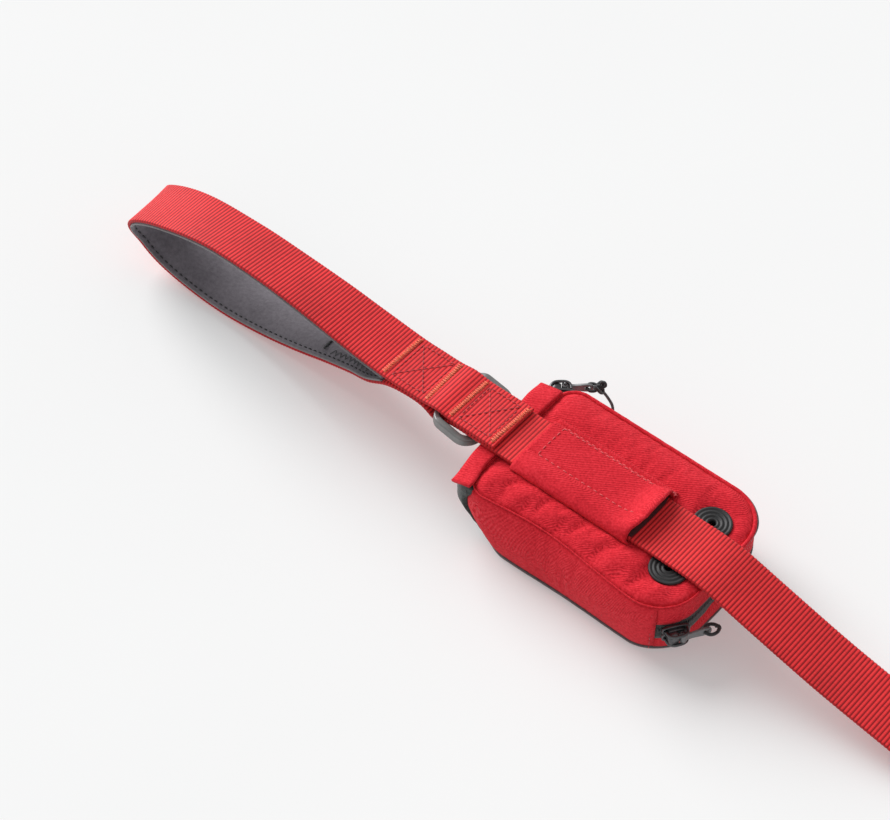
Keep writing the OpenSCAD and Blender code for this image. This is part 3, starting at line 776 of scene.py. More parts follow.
# ---- Ring ----
def make_ring():
    """A closed loop: a round bar through the webbing, and a rounded D of tall, flat-sided section."""
    half, depth, turn_x, turn_y, round_x, round_y = 14.4, 18.5, 4.4, 3.8, 6.0, 8.0
    side = [(turn_x * (1 - cos(a)), half - turn_y + turn_y * sin(a))
            for a in np.radians(np.arange(9, 90, 9))]
    side += [(x, half) for x in np.linspace(turn_x + 0.6, depth - round_x - 0.6, 7)]
    side += [(depth - round_x + round_x * cos(a), half - round_y + round_y * sin(a))
             for a in np.radians(np.arange(88, 0, -8))]
    plan = [(0.0, y) for y in np.linspace(turn_y - half, half - turn_y, 16)] + side
    plan += [(depth, y) for y in np.linspace(half - round_y, round_y - half, 9)]
    plan += [(x, -y) for x, y in reversed(side)]
    line = np.array([(x, y, 0.0) for x, y in plan])
    ahead = unit(np.roll(line, -1, axis=0) - np.roll(line, 1, axis=0))
    outward = np.cross([0, 0, 1.0], ahead)
    flat = [(-1.35, -1.7), (-0.95, -2.15), (1.0, -2.15), (1.45, -1.75), (1.45, 1.75), (1.1, 2.15),
            (-0.9, 2.15), (-1.35, 1.7)]
    verts = []
    for c, o in zip(line, outward):
        k = smooth01((c[0] - 0.4) / 3.0)
        for a, b in flat:
            round_a, round_b = RING_BAR_R * unit([a, b])
            verts.append(c - o * (a * k + round_a * (1 - k)) + (0, 0, b * k + round_b * (1 - k)))
    faces = ring_faces(len(line), len(flat))
    place = Matrix.Translation(RING_BAR) @ Matrix.Rotation(radians(RING_TILT), 4, "Y")
    ring = build("ring_metalwork", [place @ Vector(v) for v in verts], faces, "ring_metal", body="ring")
    with_modifier(ring, "BEVEL", width=0.00022, segments=2, limit_method="ANGLE", angle_limit=0.5)
    ring.data.polygons.foreach_set("use_smooth", [True] * len(ring.data.polygons))
    with_modifier(ring, "WEIGHTED_NORMAL")
    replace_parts(ring, "ring")


make_ring()

# ---- Pouch outline ----
SEGMENT_LENGTHS = (25.1, 70.0, 28.3, 30.0, 28.3, 70.0, 25.1, 34.0)


def rounded_outline(x0, x1, y1, rl, rr, q):
    """Point and outward direction on a rectangle from x0 to x1 and -y1 to y1 with corner radii rl at
    the left and rr at the right. q runs 0 to 8 from the near left corner: corner, near side, corner,
    right end, corner, far side, corner, left end."""
    k, t = int(q % 8), q % 1
    arcs = {0: (x0 + rl, rl - y1, rl, 180), 2: (x1 - rr, rr - y1, rr, -90),
            4: (x1 - rr, y1 - rr, rr, 0), 6: (x0 + rl, y1 - rl, rl, 90)}
    if k in arcs:
        cx, cy, r, a0 = arcs[k]
        a = radians(a0 + 90 * t)
        out = np.array([cos(a), sin(a)])
        return np.array([cx, cy]) + r * out, out
    lines = {1: ((x0 + rl, -y1), (x1 - rr, -y1), (0, -1)), 3: ((x1, rr - y1), (x1, y1 - rr), (1, 0)),
             5: ((x1 - rr, y1), (x0 + rl, y1), (0, 1)), 7: ((x0, y1 - rl), (x0, rl - y1), (-1, 0))}
    a, b, out = (np.array(p, float) for p in lines[k])
    return a + (b - a) * t, out


def outline(z, q, inset=0.0):
    """The pouch's outline at a height. Its left end leans in towards the foot."""
    x0 = -HALF_L + END_LEAN * max(0.0, 1 - z / LEAN_H) + inset
    return rounded_outline(x0, HALF_L - inset, HALF_W - inset, LEFT_R - inset, RIGHT_R - inset, q)


def on_wall(q, z, out_by=0.0, inset=0.0):
    """A point of the outline moved outwards, and the outward direction, both in three dimensions."""
    p, out = outline(z, q, inset)
    p = p + out * out_by
    return np.array([p[0], p[1], z]), np.array([out[0], out[1], 0.0])


def stations(q0, q1, step):
    """Values of q from q0 to q1, about a step apart along the outline."""
    out, q = [q0], q0
    while True:
        q += step / SEGMENT_LENGTHS[int(q % 8)]
        if q >= q1 - 0.4 * step / SEGMENT_LENGTHS[int(q % 8)]:
            break
        out.append(q)
    return out + [q1]


def slump(p):
    """The near side leans in towards the top, most of all at mid length."""
    x, y, z = p
    lean = 4.4 * exp(-((x + 9) / 30) ** 2) * (max(z, 0.0) / 29.0) ** 1.3
    return (x, y + lean * smooth01((-y - 12) / 21), z)


def slumped(points):
    flat = np.asarray(points, float).reshape(-1, 3)
    return np.array([slump(p) for p in flat]).reshape(np.shape(points))


# ---- Cloth simulation ----
SIM_SCALE = 0.1
SIM_FRAMES = 20
CLOTH = {
    "quality": 8, "mass": 0.3, "tension_stiffness": 25, "compression_stiffness": 25,
    "shear_stiffness": 12, "bending_stiffness": 0.6, "tension_damping": 8, "compression_damping": 8,
    "shear_damping": 8, "air_damping": 3, "vertex_group_mass": "pinned", "pin_stiffness": 5,
    "use_pressure": True,
}


def relax(verts, faces, pinned, grow, pressure, cap):
    """Lets a sheet settle as cloth a little larger than its pinned outline, and returns its points."""
    verts = np.asarray(verts, float)
    mesh = bpy.data.meshes.new("settling")
    mesh.from_pydata([tuple(v * SIM_SCALE) for v in verts], [], faces)
    sheet = add_object("settling", mesh)
    group = sheet.vertex_groups.new(name="pinned")
    for i, weight in enumerate(pinned):
        if weight > 0:
            group.add([i], float(weight), "REPLACE")
    cloth = sheet.modifiers.new("cloth", "CLOTH")
    for key, value in CLOTH.items():
        setattr(cloth.settings, key, value)
    cloth.settings.shrink_min = -grow
    cloth.settings.uniform_pressure_force = pressure
    cloth.settings.effector_weights.gravity = 0
    cloth.collision_settings.use_collision = False
    cloth.point_cache.frame_end = SIM_FRAMES
    scene = bpy.context.scene
    for f in range(1, SIM_FRAMES + 1):
        scene.frame_set(f)
    shown = sheet.evaluated_get(bpy.context.evaluated_depsgraph_get())
    moved = np.zeros(len(verts) * 3, np.float32)
    shown.data.vertices.foreach_get("co", moved)
    moved = moved.reshape(-1, 3).astype(float) / SIM_SCALE
    bpy.data.objects.remove(sheet)
    bpy.data.meshes.remove(mesh)
    scene.frame_set(1)
    shift = moved - verts
    size = np.linalg.norm(shift, axis=1, keepdims=True)
    return verts + shift * np.minimum(1.0, cap / np.maximum(size, 1e-9))


# ---- Pouch walls ----
def wall_panel(name, qs, zs, offset, material="pack_cloth", grow=0.0, pressure=0.0, tuck=1.6,
               inset=0.0, nodes=()):
    """A panel of the pouch's wall. qs is a list, or a function of z that gives one; offset(q, z)
    is how far it stands out. Its edges turn in at the seams."""
    rows, normals = [], []
    for z in zs:
        row = [on_wall(q, z, offset(q, z), inset) for q in (qs(z) if callable(qs) else qs)]
        rows.append([p for p, _ in row])
        normals.append([out for _, out in row])
    grid, outs = np.array(rows), np.array(normals)
    n, m = grid.shape[:2]
    if grow:
        edge = np.ones((n, m))
        edge[1:-1, 1:-1] = 0
        settled = relax(grid.reshape(-1, 3), grid_faces(n, m), edge.ravel(), grow, pressure, 2.0)
        grid = settled.reshape(n, m, 3)
    framed = np.zeros((n + 2, m + 2, 3))
    framed[1:-1, 1:-1] = grid
    framed[0, 1:-1] = grid[0] - outs[0] * tuck
    framed[-1, 1:-1] = grid[-1] - outs[-1] * tuck
    framed[1:-1, 0] = grid[:, 0] - outs[:, 0] * tuck
    framed[1:-1, -1] = grid[:, -1] - outs[:, -1] * tuck
    inward = {0: 1, -1: -2}
    for i in (0, -1):
        for j in (0, -1):
            framed[i, j] = (framed[inward[i], j] + framed[i, inward[j]]) / 2
    piece = build(name, slumped(framed).reshape(-1, 3), grid_faces(n + 2, m + 2), material)
    if nodes:
        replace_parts(piece, *nodes)
    return piece


def corner_cut(z):
    """Where on the left corners the side panels start at a height, from 0 to 1."""
    return 0.6 + 0.17 * smooth01((z - 19) / 8)


RIGHT_SEAM = 0.4
WALL_FOOT = 1.7
WALL_TOP = 28.2
PANEL_STEP = 1.7


def near_qs(z):
    """Where the near side panel's points lie on the outline at a height."""
    a = corner_cut(z)
    return list(np.linspace(a, 1.0, 8))[:-1] + stations(1.0, 2 + RIGHT_SEAM, PANEL_STEP)


def far_qs(z):
    """The same places on the far side of the outline."""
    return [7.0 - q for q in reversed(near_qs(z))]


def foot_draw(q):
    """How far the foot of the walls draws in: at mid length and at the corners."""
    k = q if q <= 3.5 else 7.0 - q
    near = 1.0 if q <= 3.5 else 0.6
    middle = 1.9 * exp(-((k - 1.5) / 0.55) ** 2)
    corners = 1.5 * exp(-((k - 0.7) / 0.3) ** 2) + 2.0 * exp(-((k - 2.5) / 0.5) ** 2)
    return -(middle + corners * near)


def side_offset(q, z):
    """Sides bulge a little between their seams, and draw in at their foot."""
    t = min(max((z - WALL_FOOT) / (WALL_TOP - WALL_FOOT), 0.0), 1.0)
    k = q if q <= 3.5 else 7.0 - q
    held = smooth01((k - 0.6) / 0.5)
    bulge = 1.3 * sin(pi * t) ** 0.8 * held
    ripple = 0.35 * wobble((q * 14, z * 0.5, 1.0), 5.0) + 0.18 * wobble((q * 34, z, 4.0), 4.0)
    return bulge + foot_draw(q) * (1 - t) ** 1.6 + ripple * sin(pi * t) * held


def end_offset(q, z):
    return 0.25 * wobble((q * 20, z, 7.0), 5.0)


def make_walls():
    """The side panels with their cloth settled, then the ends and the zip tapes."""
    heights = np.linspace(WALL_FOOT, WALL_TOP, 17)
    wall_panel("near_side", near_qs, heights, side_offset, grow=0.012, pressure=0.4, nodes=["side_near"])
    wall_panel("far_side", far_qs, heights, side_offset, grow=0.012, pressure=0.4, nodes=["side_far"])
    right = stations(2 + RIGHT_SEAM, 5 - RIGHT_SEAM, PANEL_STEP)
    low_top, high_foot = RIGHT_ZIP_Z - RIGHT_ZIP_HALF, RIGHT_ZIP_Z + RIGHT_ZIP_HALF

    def low_offset(q, z):
        foot = foot_draw(q) * (1 - z / 28) ** 1.6
        return 0.4 * sin(pi * (z - 1) / 10) + foot + end_offset(q, z)

    def high_offset(q, z):
        return 0.35 * smooth01((24 - z) / 6) + end_offset(q, z)

    def right_tape_offset(q, z):
        return 0.25 - 0.35 * exp(-((z - RIGHT_ZIP_Z) / 0.5) ** 2)

    wall_panel("end_right_low", right, np.linspace(WALL_FOOT, low_top + 0.3, 9), low_offset,
               nodes=["end_right_lower"])
    wall_panel("end_right_high", right, np.linspace(high_foot - 0.4, WALL_TOP, 8), high_offset,
               nodes=["end_right_upper"])
    wall_panel("right_tape", right, np.linspace(low_top - 1.2, high_foot + 1.2, 8), right_tape_offset,
               material="zip_tape", inset=0.2, nodes=["right_zip_tape"])
    wall_panel("end_left_wall", stations(6.84, 8.16, PANEL_STEP), np.linspace(WALL_FOOT, 20.2, 12),
               lambda q, z: 0.4 + end_offset(q, z), nodes=["end_left"])

    def left_tape_qs(z):
        a = corner_cut(z)
        return [7 - a + (1 + 2 * a) * t for t in np.linspace(0, 1, 48)]

    def left_tape_offset(q, z):
        near = exp(-(((q if q < 4 else q - 8) - 0.38) / 0.28) ** 2)
        tall = smooth01((z - 2) / 13) * (1 - 0.3 * smooth01((z - 25) / 4))
        return 3.6 * near * tall - 0.1 + 0.12 * sin(z * 2.2)

    wall_panel("left_tape", left_tape_qs, np.linspace(WALL_FOOT, WALL_TOP, 18), left_tape_offset,
               material="zip_tape", inset=0.5, nodes=["left_zip_tape"])


make_walls()


# ---- Zip coils and stops ----
def coil_teeth(name, qs, z, node):
    """Interlocked coil: short rounded turns across the zip's middle."""
    parts = []
    for i, q in enumerate(qs):
        base, out = on_wall(q, z, inset=0.35)
        lean = 0.18 * (1 if i % 2 else -1)
        ends = [(-1.45, -0.35), (-1.1, 0.3), (0.0, 0.42), (1.1, 0.3), (1.45, -0.35)]
        line = [base + out * h + (-out[1] * lean * dz, out[0] * lean * dz, dz) for dz, h in ends]
        parts.append(tube(line, [0.25, 0.36, 0.4, 0.36, 0.25], sides=6, up=out))
    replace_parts(build(name, *merge(parts), "zip_teeth"), node)


def rounded_block(centre, size, cut=0.25):
    """A small block with bevelled edges, size along x, y, z."""
    hx, hy, hz = (s / 2 for s in size)
    rings = []
    for z, k in ((-hz, cut), (-hz + cut, 0), (hz - cut, 0), (hz, cut)):
        a, b = hx - k, hy - k
        rings.append([(a, -b + cut, z), (a, b - cut, z), (a - cut, b, z), (-a + cut, b, z),
                      (-a, b - cut, z), (-a, -b + cut, z), (-a + cut, -b, z), (a - cut, -b, z)])
    verts = [tuple(np.add(centre, v)) for ring in rings for v in ring]
    return verts, capped_faces(4, 8)


coil_teeth("right_coil", stations(2.44, 4.56, 0.95), RIGHT_ZIP_Z, "right_zip_teeth")
coil_teeth("left_coil", stations(6.36, 8.64, 0.95), LEFT_ZIP_Z, "left_zip_teeth")
for side, place in (("left", (-32.2, 33.6, LEFT_ZIP_Z)), ("right", (33.0, -32.4, RIGHT_ZIP_Z))):
    block = rounded_block(place, (1.6, 1.0, 3.2))
    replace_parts(build(side + "_stop", *block, "slider_metal", slot="zip_teeth"), side + "_zip_stop")


# ---- Top panel ----
TOP_X0 = -45.0
TOP_LEFT_R = 9.0


def top_outline(q, inset=0.0):
    """The top panel's seam: as the pouch's outline, but squarer and shorter at the left."""
    return rounded_outline(TOP_X0 + inset, HALF_L - inset, HALF_W - inset, TOP_LEFT_R - inset,
                           RIGHT_R - inset, q)[0]


def inside_depth(x, y):
    """How far a point lies inside the top panel's seam."""
    mid, half = (TOP_X0 + HALF_L) / 2, (HALF_L - TOP_X0) / 2
    r = TOP_LEFT_R if x < mid else RIGHT_R
    a, b = abs(x - mid) - half + r, abs(y) - HALF_W + r
    return r - hypot(max(a, 0), max(b, 0)) - min(max(a, b), 0)


def from_outlet(x, y):
    """Distance to the nearer outlet's centre."""
    return min(hypot(x - OUTLET_X, y - s * OUTLET_Y) for s in (-1, 1))


def under_lead(x, y):
    """1 where the strap or sleeve lies on the panel, falling to 0 beside it."""
    return smooth01((y + 18) / 3) * smooth01((17.5 - y) / 3)


def panel_height(x, y):
    d = inside_depth(x, y)
    z = 28.3 + 2.5 * (1 - exp(-max(d, 0) / 4.2))
    free = (1 - under_lead(x, y)) * smooth01(d / 7)
    fold = sin((x * 0.85 - y * 0.4) * 0.48 + 1.8 * wobble((x, y, 0), 21.0))
    z += free * (0.85 * fold * smooth01((-13 - y) / 7) + 0.55 * wobble((x, y, 2.0), 12.0))
    seat = smooth01((from_outlet(x, y) - OUTLET_R + 0.6) / 2.6)
    return z * seat + (OUTLET_Z - 0.35) * (1 - seat)


def make_top_panel():
    """A mesh of even triangles inside the seam, settled as cloth, with holes for the outlets."""
    rim = [top_outline(q, 0.35) for q in np.linspace(0, 8, 220, endpoint=False)]
    step = 1.45
    inner = []
    for i, x in enumerate(np.arange(TOP_X0, HALF_L, step)):
        for y in np.arange(-HALF_W, HALF_W, step):
            px = x + 0.25 * wobble((x, y, 5.0), 2.3)
            py = y + (0.5 * step if i % 2 else 0) + 0.25 * wobble((x, y, 9.0), 2.3)
            if inside_depth(px, py) > 1.1:
                inner.append((px, py))
    points = [Vector(p) for p in rim + inner]
    edges = [(i, (i + 1) % len(rim)) for i in range(len(rim))]
    flat, _, faces, *_ = geometry.delaunay_2d_cdt(points, edges, [], 1, 1e-5)
    verts = np.array([(p.x, p.y, panel_height(p.x, p.y)) for p in flat])
    pins = []
    for x, y, _ in verts:
        held = inside_depth(x, y) < 1.0 or from_outlet(x, y) < OUTLET_R + 1 or under_lead(x, y) > 0.9
        pins.append(1.0 if held else 0.0)
    verts = relax(verts, [tuple(f) for f in faces], pins, 0.02, 0.5, 1.8)
    for v in verts:
        if under_lead(v[0], v[1]) > 0.3:
            v[2] = min(v[2], 31.1)
    kept = []
    for face in faces:
        x, y = np.mean([verts[i][:2] for i in face], axis=0)
        if from_outlet(x, y) > OUTLET_R - 2.5:
            kept.append(tuple(face))
    piece = build("top_cloth", slumped(verts), kept, "pack_cloth")
    with_modifier(piece, "SOLIDIFY", thickness=0.0006, offset=-1.0)
    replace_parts(piece, "top_panel")


make_top_panel()


# ---- Seams round the pouch ----
def make_seams():
    """Turned seam round the top, the grey tape inside it at the far side, and the bound base."""
    qs = stations(0, 8, 1.1)[:-1]
    roll, radii = [], []
    for q in qs:
        x, y = top_outline(q, 0.1)
        roll.append(slump((x, y, 28.8 + 0.1 * wobble((x, y, 0), 4.0))))
        far = smooth01((q - 2.9) / 0.8)
        radii.append(0.3 + 0.55 * far + 0.08 * wobble((x, y, 8), 2.5))
    tape = []
    for q in stations(4.0, 6.4, 1.1):
        x, y = top_outline(q, -0.9 * smooth01((q - 4.0) / 0.4))
        tape.append((x, y, 27.9 + 0.12 * wobble((x, y, 3), 5.0)))
    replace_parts(build("rim_seam", *tube(roll, radii, sides=10, closed=True), "pack_cloth"), "rim_piping")
    build("rim_tape", *tube(tape, 0.5, sides=6), "binding_grey")
    ring_qs = stations(0, 8, 1.4)[:-1]

    def skirt(rows):
        """Rings of points [how far out, height] that follow the foot of the walls."""
        points = []
        for out_by, z in rows:
            for q in ring_qs:
                p, out = outline(z, q)
                p = p + out * (out_by + foot_draw(q) + 0.06 * wobble((p[0], p[1], z), 3.0))
                points.append((p[0], p[1], z))
        return points

    band = [(-0.2, 1.5), (0.3, 1.45), (0.5, 1.15), (0.5, 0.75), (0.3, 0.45), (-0.3, 0.35)]
    faces = grid_faces(len(band), len(ring_qs), closed=True)
    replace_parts(build("base_tape", skirt(band), faces, "binding_grey"), "base_binding")
    cloth = [(0.2, 0.7), (0.0, 0.3), (-0.8, 0.12), (-3.0, 0.06)]
    n = len(ring_qs)
    faces = grid_faces(len(cloth), n, closed=True)
    faces.append(tuple(range((len(cloth) - 1) * n, len(cloth) * n)))
    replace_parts(build("base_cloth", skirt(cloth), faces, "pack_cloth"), "pouch_base")
    parts = []
    for s in (1, -1):
        q = 2 + RIGHT_SEAM if s == 1 else 5 - RIGHT_SEAM
        line, outs = zip(*(on_wall(q - s * 0.06, z, 0.35) for z in np.linspace(3.5, 27.5, 20)))
        parts += stitch_row(line, outs, 1.9, 0.9, 0.2, 0.2)
    build("corner_stitches", *merge(parts), "thread_dark_red", slot="thread_red")


make_seams()


# ---- Flap over the left zip ----
def make_flap():
    """A doubled strip of cloth, sewn along its inner edge and free over the zip."""
    profile = [(-44.2, 0.75), (-45.2, 1.15), (-46.6, 1.15), (-50.5, 1.25), (-52.6, 1.1), (-53.25, 0.55),
               (-52.8, -0.1), (-51.5, -0.25), (-48, -0.1), (-44.4, 0.0)]
    ys = np.linspace(-31.6, 27.2, 46)
    verts = []
    for y in ys:
        droop = 2.3 * smooth01((abs(y) - 17) / 13)
        for x, h in profile:
            under = 29.6 + (x + 52) * 0.12
            outer = smooth01((-45 - x) / 8)
            z = under + h - droop * (0.35 + 0.65 * outer) + 0.18 * wobble((x, y, 4), 6.0)
            if abs(y - LEAD_Y) < 14:
                z = min(z, 31.15)
            x_out = x - 0.068 * (y + 2.4) * outer + 2.0 * (1 - outer) * smooth01((-18 - y) / 12)
            verts.append((x_out + 0.25 * wobble((0, y, 2), 9.0), y, z))
    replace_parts(build("flap_cloth", verts, capped_faces(len(ys), len(profile)), "pack_cloth"), "end_flap")
    ys = [y for y in np.linspace(-29, 27, 30) if abs(y - LEAD_Y) > 14.5]
    line = [(-45.3 + 2.0 * smooth01((-18 - y) / 12), y, 31.0 - 0.8 * smooth01((abs(y) - 17) / 13))
            for y in ys]
    parts = []
    for s in (-1, 1):
        half = [p for p in line if (p[1] - LEAD_Y) * s > 0]
        parts += stitch_row(half, [(0, 0, 1)] * len(half), 2.0, 0.9, 0.2, 0.2)
    build("flap_stitches", *merge(parts), "thread_dark_red", slot="thread_red")


make_flap()

# ---- Sleeve ----
SLEEVE_PROFILE = [
    (15.6, 31.15), (14.9, 31.95), (13.9, 31.95), (13.0, 31.7), (12.3, 32.5), (11.4, 33.5), (9.5, 33.95),
    (5.5, 34.05), (0.5, 34.1), (-3.2, 34.0), (-4.4, 33.75), (-5.0, 33.55), (-5.7, 33.8), (-7.5, 34.5),
    (-10.5, 34.85), (-13.0, 34.5), (-14.7, 33.6), (-15.5, 32.4), (-15.3, 31.3),
]


def sleeve_point(x, y, z):
    """Opens the right mouth, flattens the left end and adds soft folds."""
    left = smooth01((x - SLEEVE_X0) / 7)
    top = smooth01((z - 31.6) / 1.6)
    near = smooth01((-5 - y) / 5)
    z -= (1 - left) * near * top * 0.9
    mouth = smooth01((x - 4) / 16)
    across = sin(pi * min(max((13.6 - y) / 28.5, 0), 1))
    lip = mouth * smooth01((x - 8) / 12)
    far = 1 + 0.2 * smooth01((y - 4) / 8)
    z += top * (1.2 * mouth * across ** 0.7 + 4.4 * lip * across ** 0.4 * far)
    x += top * mouth * (0.9 * across - 1.2 * smooth01((-9 - y) / 5))
    ripple = 0.3 * wobble((x, y * 1.4, 6), 9.0) + 0.12 * wobble((x, y, 1), 3.5)
    z += ripple * top * (1 - exp(-((y + 5) / 1.5) ** 2))
    return x, y, z


def make_sleeve():
    profile = catmull(SLEEVE_PROFILE, 3)
    xs = np.linspace(SLEEVE_X0, SLEEVE_X1, 44)
    verts = [sleeve_point(x, y, z) for x in xs for y, z in profile]
    sleeve = build("sleeve_cloth", verts, grid_faces(len(xs), len(profile)), "pack_cloth")
    with_modifier(sleeve, "SOLIDIFY", thickness=0.0007, offset=0.0)
    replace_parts(sleeve, "sleeve")
    # A dark sheet lying on the strap just inside the sleeve's mouth: painted shade for the shadow under the
    # raised lip
    shade_sheet, shade_xs, shade_ys = [], np.linspace(8.0, 20.2, 12), np.linspace(-13.2, 10.6, 18)
    for x in shade_xs:
        for y in shade_ys:
            edge = (x - 8.0) / 12.2
            side = abs((y - LEAD_Y + 0.6) / 12.5) ** 4
            shade_sheet.append((x - 0.9 * edge * side, y, 33.45 + 0.2 * side + 0.1 * wobble((x, y, 3), 5.0)))
    build("sleeve_painted_shade", shade_sheet, grid_faces(len(shade_xs), len(shade_ys)), "painted_shade_cloth", slot="pack_cloth")

    def on_sleeve(x, y):
        z = float(np.interp(-y, -profile[:, 0], profile[:, 1]))
        px, py, pz = sleeve_point(x, y, z)
        return px, py, pz + 0.3

    rows = [[on_sleeve(x, y) for x in np.linspace(-30.5, 15.5, 40)] for y in (-5.0, 12.9)]
    rows.append([on_sleeve(x, 11.0) for x in np.linspace(-31, 13, 36)])
    rows.append([on_sleeve(-30.8, y) for y in np.linspace(-5, 12.9, 14)])
    parts = []
    for row in rows:
        parts += stitch_row(row, [(0, 0, 1)] * len(row), 1.9, 1.0, 0.24, 0.28)
    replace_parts(build("sleeve_threads", *merge(parts), "thread_red"), "sleeve_stitching")
    fray = []
    for k in range(9):
        base = np.array(sleeve_point(19.6, 13.6 - 0.35 * k, 32.2 + 0.15 * k))
        stray = (0.6 * wobble((k, 0, 0), 0.7), 0.5 * wobble((k, 3, 0), 0.7))
        tip_at = base + (1.5 + stray[0], stray[1], 1.3 - 0.12 * k)
        fray.append(tube([base, (base + tip_at) / 2 + (0, 0, 0.2), tip_at], [0.2, 0.16, 0.06], sides=5))
    build("sleeve_fray", *merge(fray), "thread_red")


make_sleeve()


# ---- Outlets ----
def make_outlet(name, y, node):
    """Moulded rubber: concentric steps round a small hole."""
    profile = [(1.3, -1.4), (1.3, 0.1), (1.7, 0.75), (2.3, 0.85), (2.6, 0.45), (3.1, 0.45), (3.4, 0.88),
               (4.0, 0.88), (4.3, 0.5), (4.8, 0.5), (5.1, 0.9), (5.7, 0.9), (6.0, 0.55), (6.4, 0.55),
               (6.7, 0.9), (7.3, 0.88), (7.6, 0.6), (7.68, 0.1), (6.3, 0.0), (6.3, -1.4)]
    sides = 72
    verts = [(px, py, OUTLET_Z + h) for r, h in profile for px, py in oval(OUTLET_X, y, r, r, sides)]
    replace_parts(build(name, verts, grid_faces(len(profile), sides, closed=True), "outlet_rubber"), node)


make_outlet("rubber_near", -OUTLET_Y, "outlet_near")
make_outlet("rubber_far", OUTLET_Y, "outlet_far")

# ---- Zip sliders ----
TAB_HOLE = 8.8
LEFT_TURN = 40
RIGHT_TURN = -121


def corner_place(x, y, z, turn, radius):
    """A place on a rounded corner of the outline, from the corner's centre and an angle."""
    spin = Matrix.Rotation(radians(turn), 4, "Z")
    return Matrix.Translation((x, y, z)) @ spin @ Matrix.Translation((0, radius, 0))


LEFT_SLIDER = corner_place(LEFT_R - HALF_L, HALF_W - LEFT_R, LEFT_ZIP_Z, LEFT_TURN, LEFT_R)
RIGHT_SLIDER = corner_place(HALF_L - RIGHT_R, RIGHT_R - HALF_W, RIGHT_ZIP_Z, RIGHT_TURN, RIGHT_R)
RIGHT_SLIDER = RIGHT_SLIDER @ Matrix.Scale(-1, 4, (1, 0, 0))


def plate(loops, thickness, bevel):
    """A bevelled plate in the x-z plane from outline loops, the first outside and the rest holes."""
    curve = bpy.data.curves.new("plate", "CURVE")
    curve.dimensions = "2D"
    curve.fill_mode = "BOTH"
    curve.extrude = thickness / 2 - bevel
    curve.bevel_depth = bevel
    curve.bevel_resolution = 2
    curve.offset = -bevel
    for loop in loops:
        spline = curve.splines.new("POLY")
        spline.points.add(len(loop) - 1)
        spline.use_cyclic_u = True
        for point, (x, z) in zip(spline.points, loop):
            point.co = (x, z, 0, 1)
    holder = bpy.data.objects.new("plate", curve)
    mesh = bpy.data.meshes.new_from_object(holder)
    verts = [(v.co.x, v.co.z, v.co.y) for v in mesh.vertices]
    faces = [tuple(reversed(p.vertices)) for p in mesh.polygons]
    bpy.data.objects.remove(holder)
    bpy.data.curves.remove(curve)
    bpy.data.meshes.remove(mesh)
    return verts, faces


def moved(part, shift=(0, 0, 0)):
    verts, faces = part
    return [tuple(np.array(v) + np.array(shift)) for v in verts], faces


def rounded(points, steps=4):
    """A closed outline with its corners rounded by a smooth curve."""
    p = [np.array(q, float) for q in points]
    return [tuple(q) for i in range(len(p))
            for q in spline_span(*(p[(i + k) % len(p)] for k in (-1, 0, 1, 2)), steps)]


def place_part(name, part, place, material, body, slot=None, nodes=()):
    verts, faces = part
    if place.determinant() < 0:
        faces = [tuple(reversed(f)) for f in faces]
    piece = build(name, [place @ Vector(v) for v in verts], faces, material, body=body, slot=slot)
    if nodes:
        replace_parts(piece, *nodes)
    return piece


def mirrored(points):
    """A closed outline from its lower half, mirrored in x."""
    return points + [(x, -z) for x, z in reversed(points)]


def slider_part():
    """Slider body with a divided front, a moulded bridge on top, and the bar that holds the pull."""
    half = [(-5.5, -1.0), (-5.4, -3.2), (-3.6, -3.7), (0.5, -3.5), (4.2, -2.7), (5.5, -1.6)]
    front = rounded(mirrored(half) + [(-4.6, 0.0)])
    lower = moved(plate([front], 1.2, 0.3), (0, 1.4, 0))
    raised = rounded(mirrored([(-3.8, -1.6), (-2.4, -2.5), (2.2, -2.0), (3.8, -1.0)]))
    upper = moved(plate([raised], 1.2, 0.3), (0, 2.3, 0))
    cheeks = []
    for s in (-1, 1):
        arch = [(-4.4, 2.2, s * 2.2), (-4.0, 4.4, s * 2.4), (-2.6, 5.7, s * 2.5), (-0.5, 6.0, s * 2.55),
                (1.6, 5.9, s * 2.55), (3.0, 5.2, s * 2.5), (3.7, 3.9, s * 2.4), (3.8, 2.4, s * 2.2)]
        cheeks.append(tube(catmull(arch, 4), 0.6, sides=10))
    cheeks.append(rounded_block((-2.1, 4.0, 0), (4.1, 3.8, 4.7), cut=0.6))
    pin = tube([(PULL_PIN[0], PULL_PIN[1], z) for z in np.linspace(-2.8, 2.8, 6)], 0.72, sides=14)
    return merge([lower, upper, *cheeks, pin])


def tab_part():
    """Pull tab: an eye round the bar, a waist, and a rounded end with an oval hole."""
    x0 = PULL_PIN[0]
    half = [(-0.9, -1.9), (1.2, -2.05), (3.2, -1.5), (6.0, -1.8), (9.2, -2.0), (10.9, -1.2)]
    edge = rounded(mirrored([(x0 + x, z) for x, z in half]))
    flat = plate([edge, oval(x0 + TAB_HOLE, 0, 1.15, 1.0)], 1.15, 0.25)
    eye = tube([(x0, 0, z) for z in np.linspace(-2.0, 2.0, 6)], 1.35, sides=16)
    return merge([moved(flat, (0, PULL_PIN[1], 0)), moved(eye, (0, PULL_PIN[1], 0))])


def cord_line(points, radius):
    return tube(evenly(catmull(points, 8), 0.5), radius, sides=8)


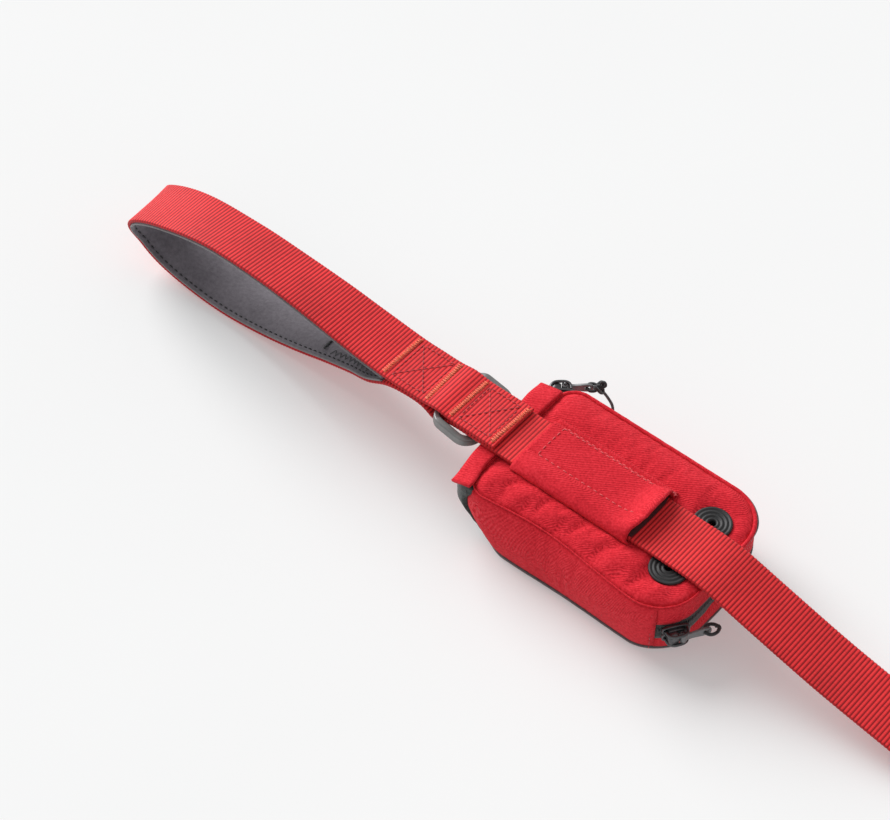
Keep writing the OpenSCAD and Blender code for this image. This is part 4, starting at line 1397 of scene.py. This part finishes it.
def make_pulls():
    x, y = PULL_PIN[0] + TAB_HOLE, PULL_PIN[1]
    sides = (("left", LEFT_SLIDER), ("right", RIGHT_SLIDER))
    for side, place in sides:
        body = side + "_slider"
        place_part(body + "_body", slider_part(), place, "slider_metal", body, nodes=[body])
    for side, place in sides:
        pull = side + "_pull"
        place_part(side + "_tab", tab_part(), place, "tab_grey", pull, "slider_metal", [pull + "_tab"])
    loop = [(0, -0.9, 0), (0.8, -1.9, 0.1), (2.6, -2.0, 0.2), (4.2, -0.9, 0.1), (4.9, 0, 0),
            (4.2, 0.9, -0.1), (2.6, 2.0, -0.2), (0.8, 1.9, 0), (0, 0.9, 0), (-0.3, 0, 0), (0, -0.9, 0)]
    knot = [(4.4 + 1.7 * sin(2 * t), 1.5 * cos(t) + 0.6 * cos(3 * t),
             1.5 * sin(3 * t) + 0.4 * sin(t)) for t in np.linspace(0, 2 * pi, 40)]
    tail = [(4.8, 0, 0), (6.2, 0.3, -3.0), (8.2, 0.6, -7.0), (10.0, 0.8, -11.5), (10.6, 0.8, -15.0)]
    ear = [(4.6, 0, 0.6), (5.4, 0.8, 2.2), (6.6, 0.2, 2.8), (7.0, -0.6, 1.6), (5.6, -0.4, 0.2)]
    left = [cord_line(loop, 0.62), tube(knot, 0.62, sides=8), cord_line(tail, 0.6), cord_line(ear, 0.5)]
    ring = [(2.5 + 2.75 * cos(a), 2.3 * sin(a), 0.2 * sin(2 * a))
            for a in np.linspace(0, 2 * pi, 40, endpoint=False)]
    bead = [(4.4, -0.9, -0.4), (5.2, -0.4, 0.5), (5.6, 0.4, 0), (5.0, 0.9, -0.5), (4.6, 0.2, -0.6)]
    right = [tube(ring, 0.68, sides=10, closed=True), cord_line(bead, 0.6)]
    for (side, place), parts in zip(sides, (left, right)):
        pull = side + "_pull"
        cord = moved(merge(parts), (x, y, 0))
        place_part(side + "_cord", cord, place, "pull_cord", pull, nodes=[pull + "_cord"])


make_pulls()


# ---- Sewn end and hook ----
def make_end():
    x, y, z = HOOK
    top = z + 0.97 + WEB_T / 2 + 0.05
    threads = cross_tack(x - 13, y - 10.6, y + 10.6, top, 0, 0.24, 5)
    tack = build("thread_end_bartack", *threads, "thread_orange")
    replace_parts(tack, "end_bartack")
    for node in ("hook_eye", "hook_body", "hook_gate", "gate_pin"):
        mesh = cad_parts[node].data
        mesh.materials.clear()
        mesh.materials.append(MATERIALS["hook_metal"])
        mesh.polygons.foreach_set("material_index", [0] * len(mesh.polygons))
    return tack


end_tack = make_end()


# ---- Floor and light ----
FLOOR_HALF = 6.0
FLOOR_Z = -0.0002
WORLD_STRENGTH = 0.48
SUN_STRENGTH = 3.25
SUN_SPREAD = 42
SUN_FROM = (-0.86, 0.20, 0.60)


def make_studio():
    mesh = bpy.data.meshes.new("studio_floor")
    corners = [(-1, -1), (1, -1), (1, 1), (-1, 1)]
    mesh.from_pydata([(FLOOR_HALF * x, FLOOR_HALF * y, FLOOR_Z) for x, y in corners], [], [(0, 1, 2, 3)])
    mesh.materials.append(MATERIALS["floor"])
    add_object("studio_floor", mesh)
    world = bpy.data.worlds.new("studio")
    bpy.context.scene.world = world
    world.use_nodes = True
    sky = world.node_tree.nodes["Background"]
    sky.inputs["Color"].default_value = (1, 1, 1, 1)
    sky.inputs["Strength"].default_value = WORLD_STRENGTH
    data = bpy.data.lights.new("key", "SUN")
    data.energy = SUN_STRENGTH
    data.angle = radians(SUN_SPREAD)
    light = add_object("key", data)
    light.rotation_euler = Vector(SUN_FROM).to_track_quat("Z", "Y").to_euler()
    bpy.context.scene.view_settings.view_transform = "Standard"


make_studio()
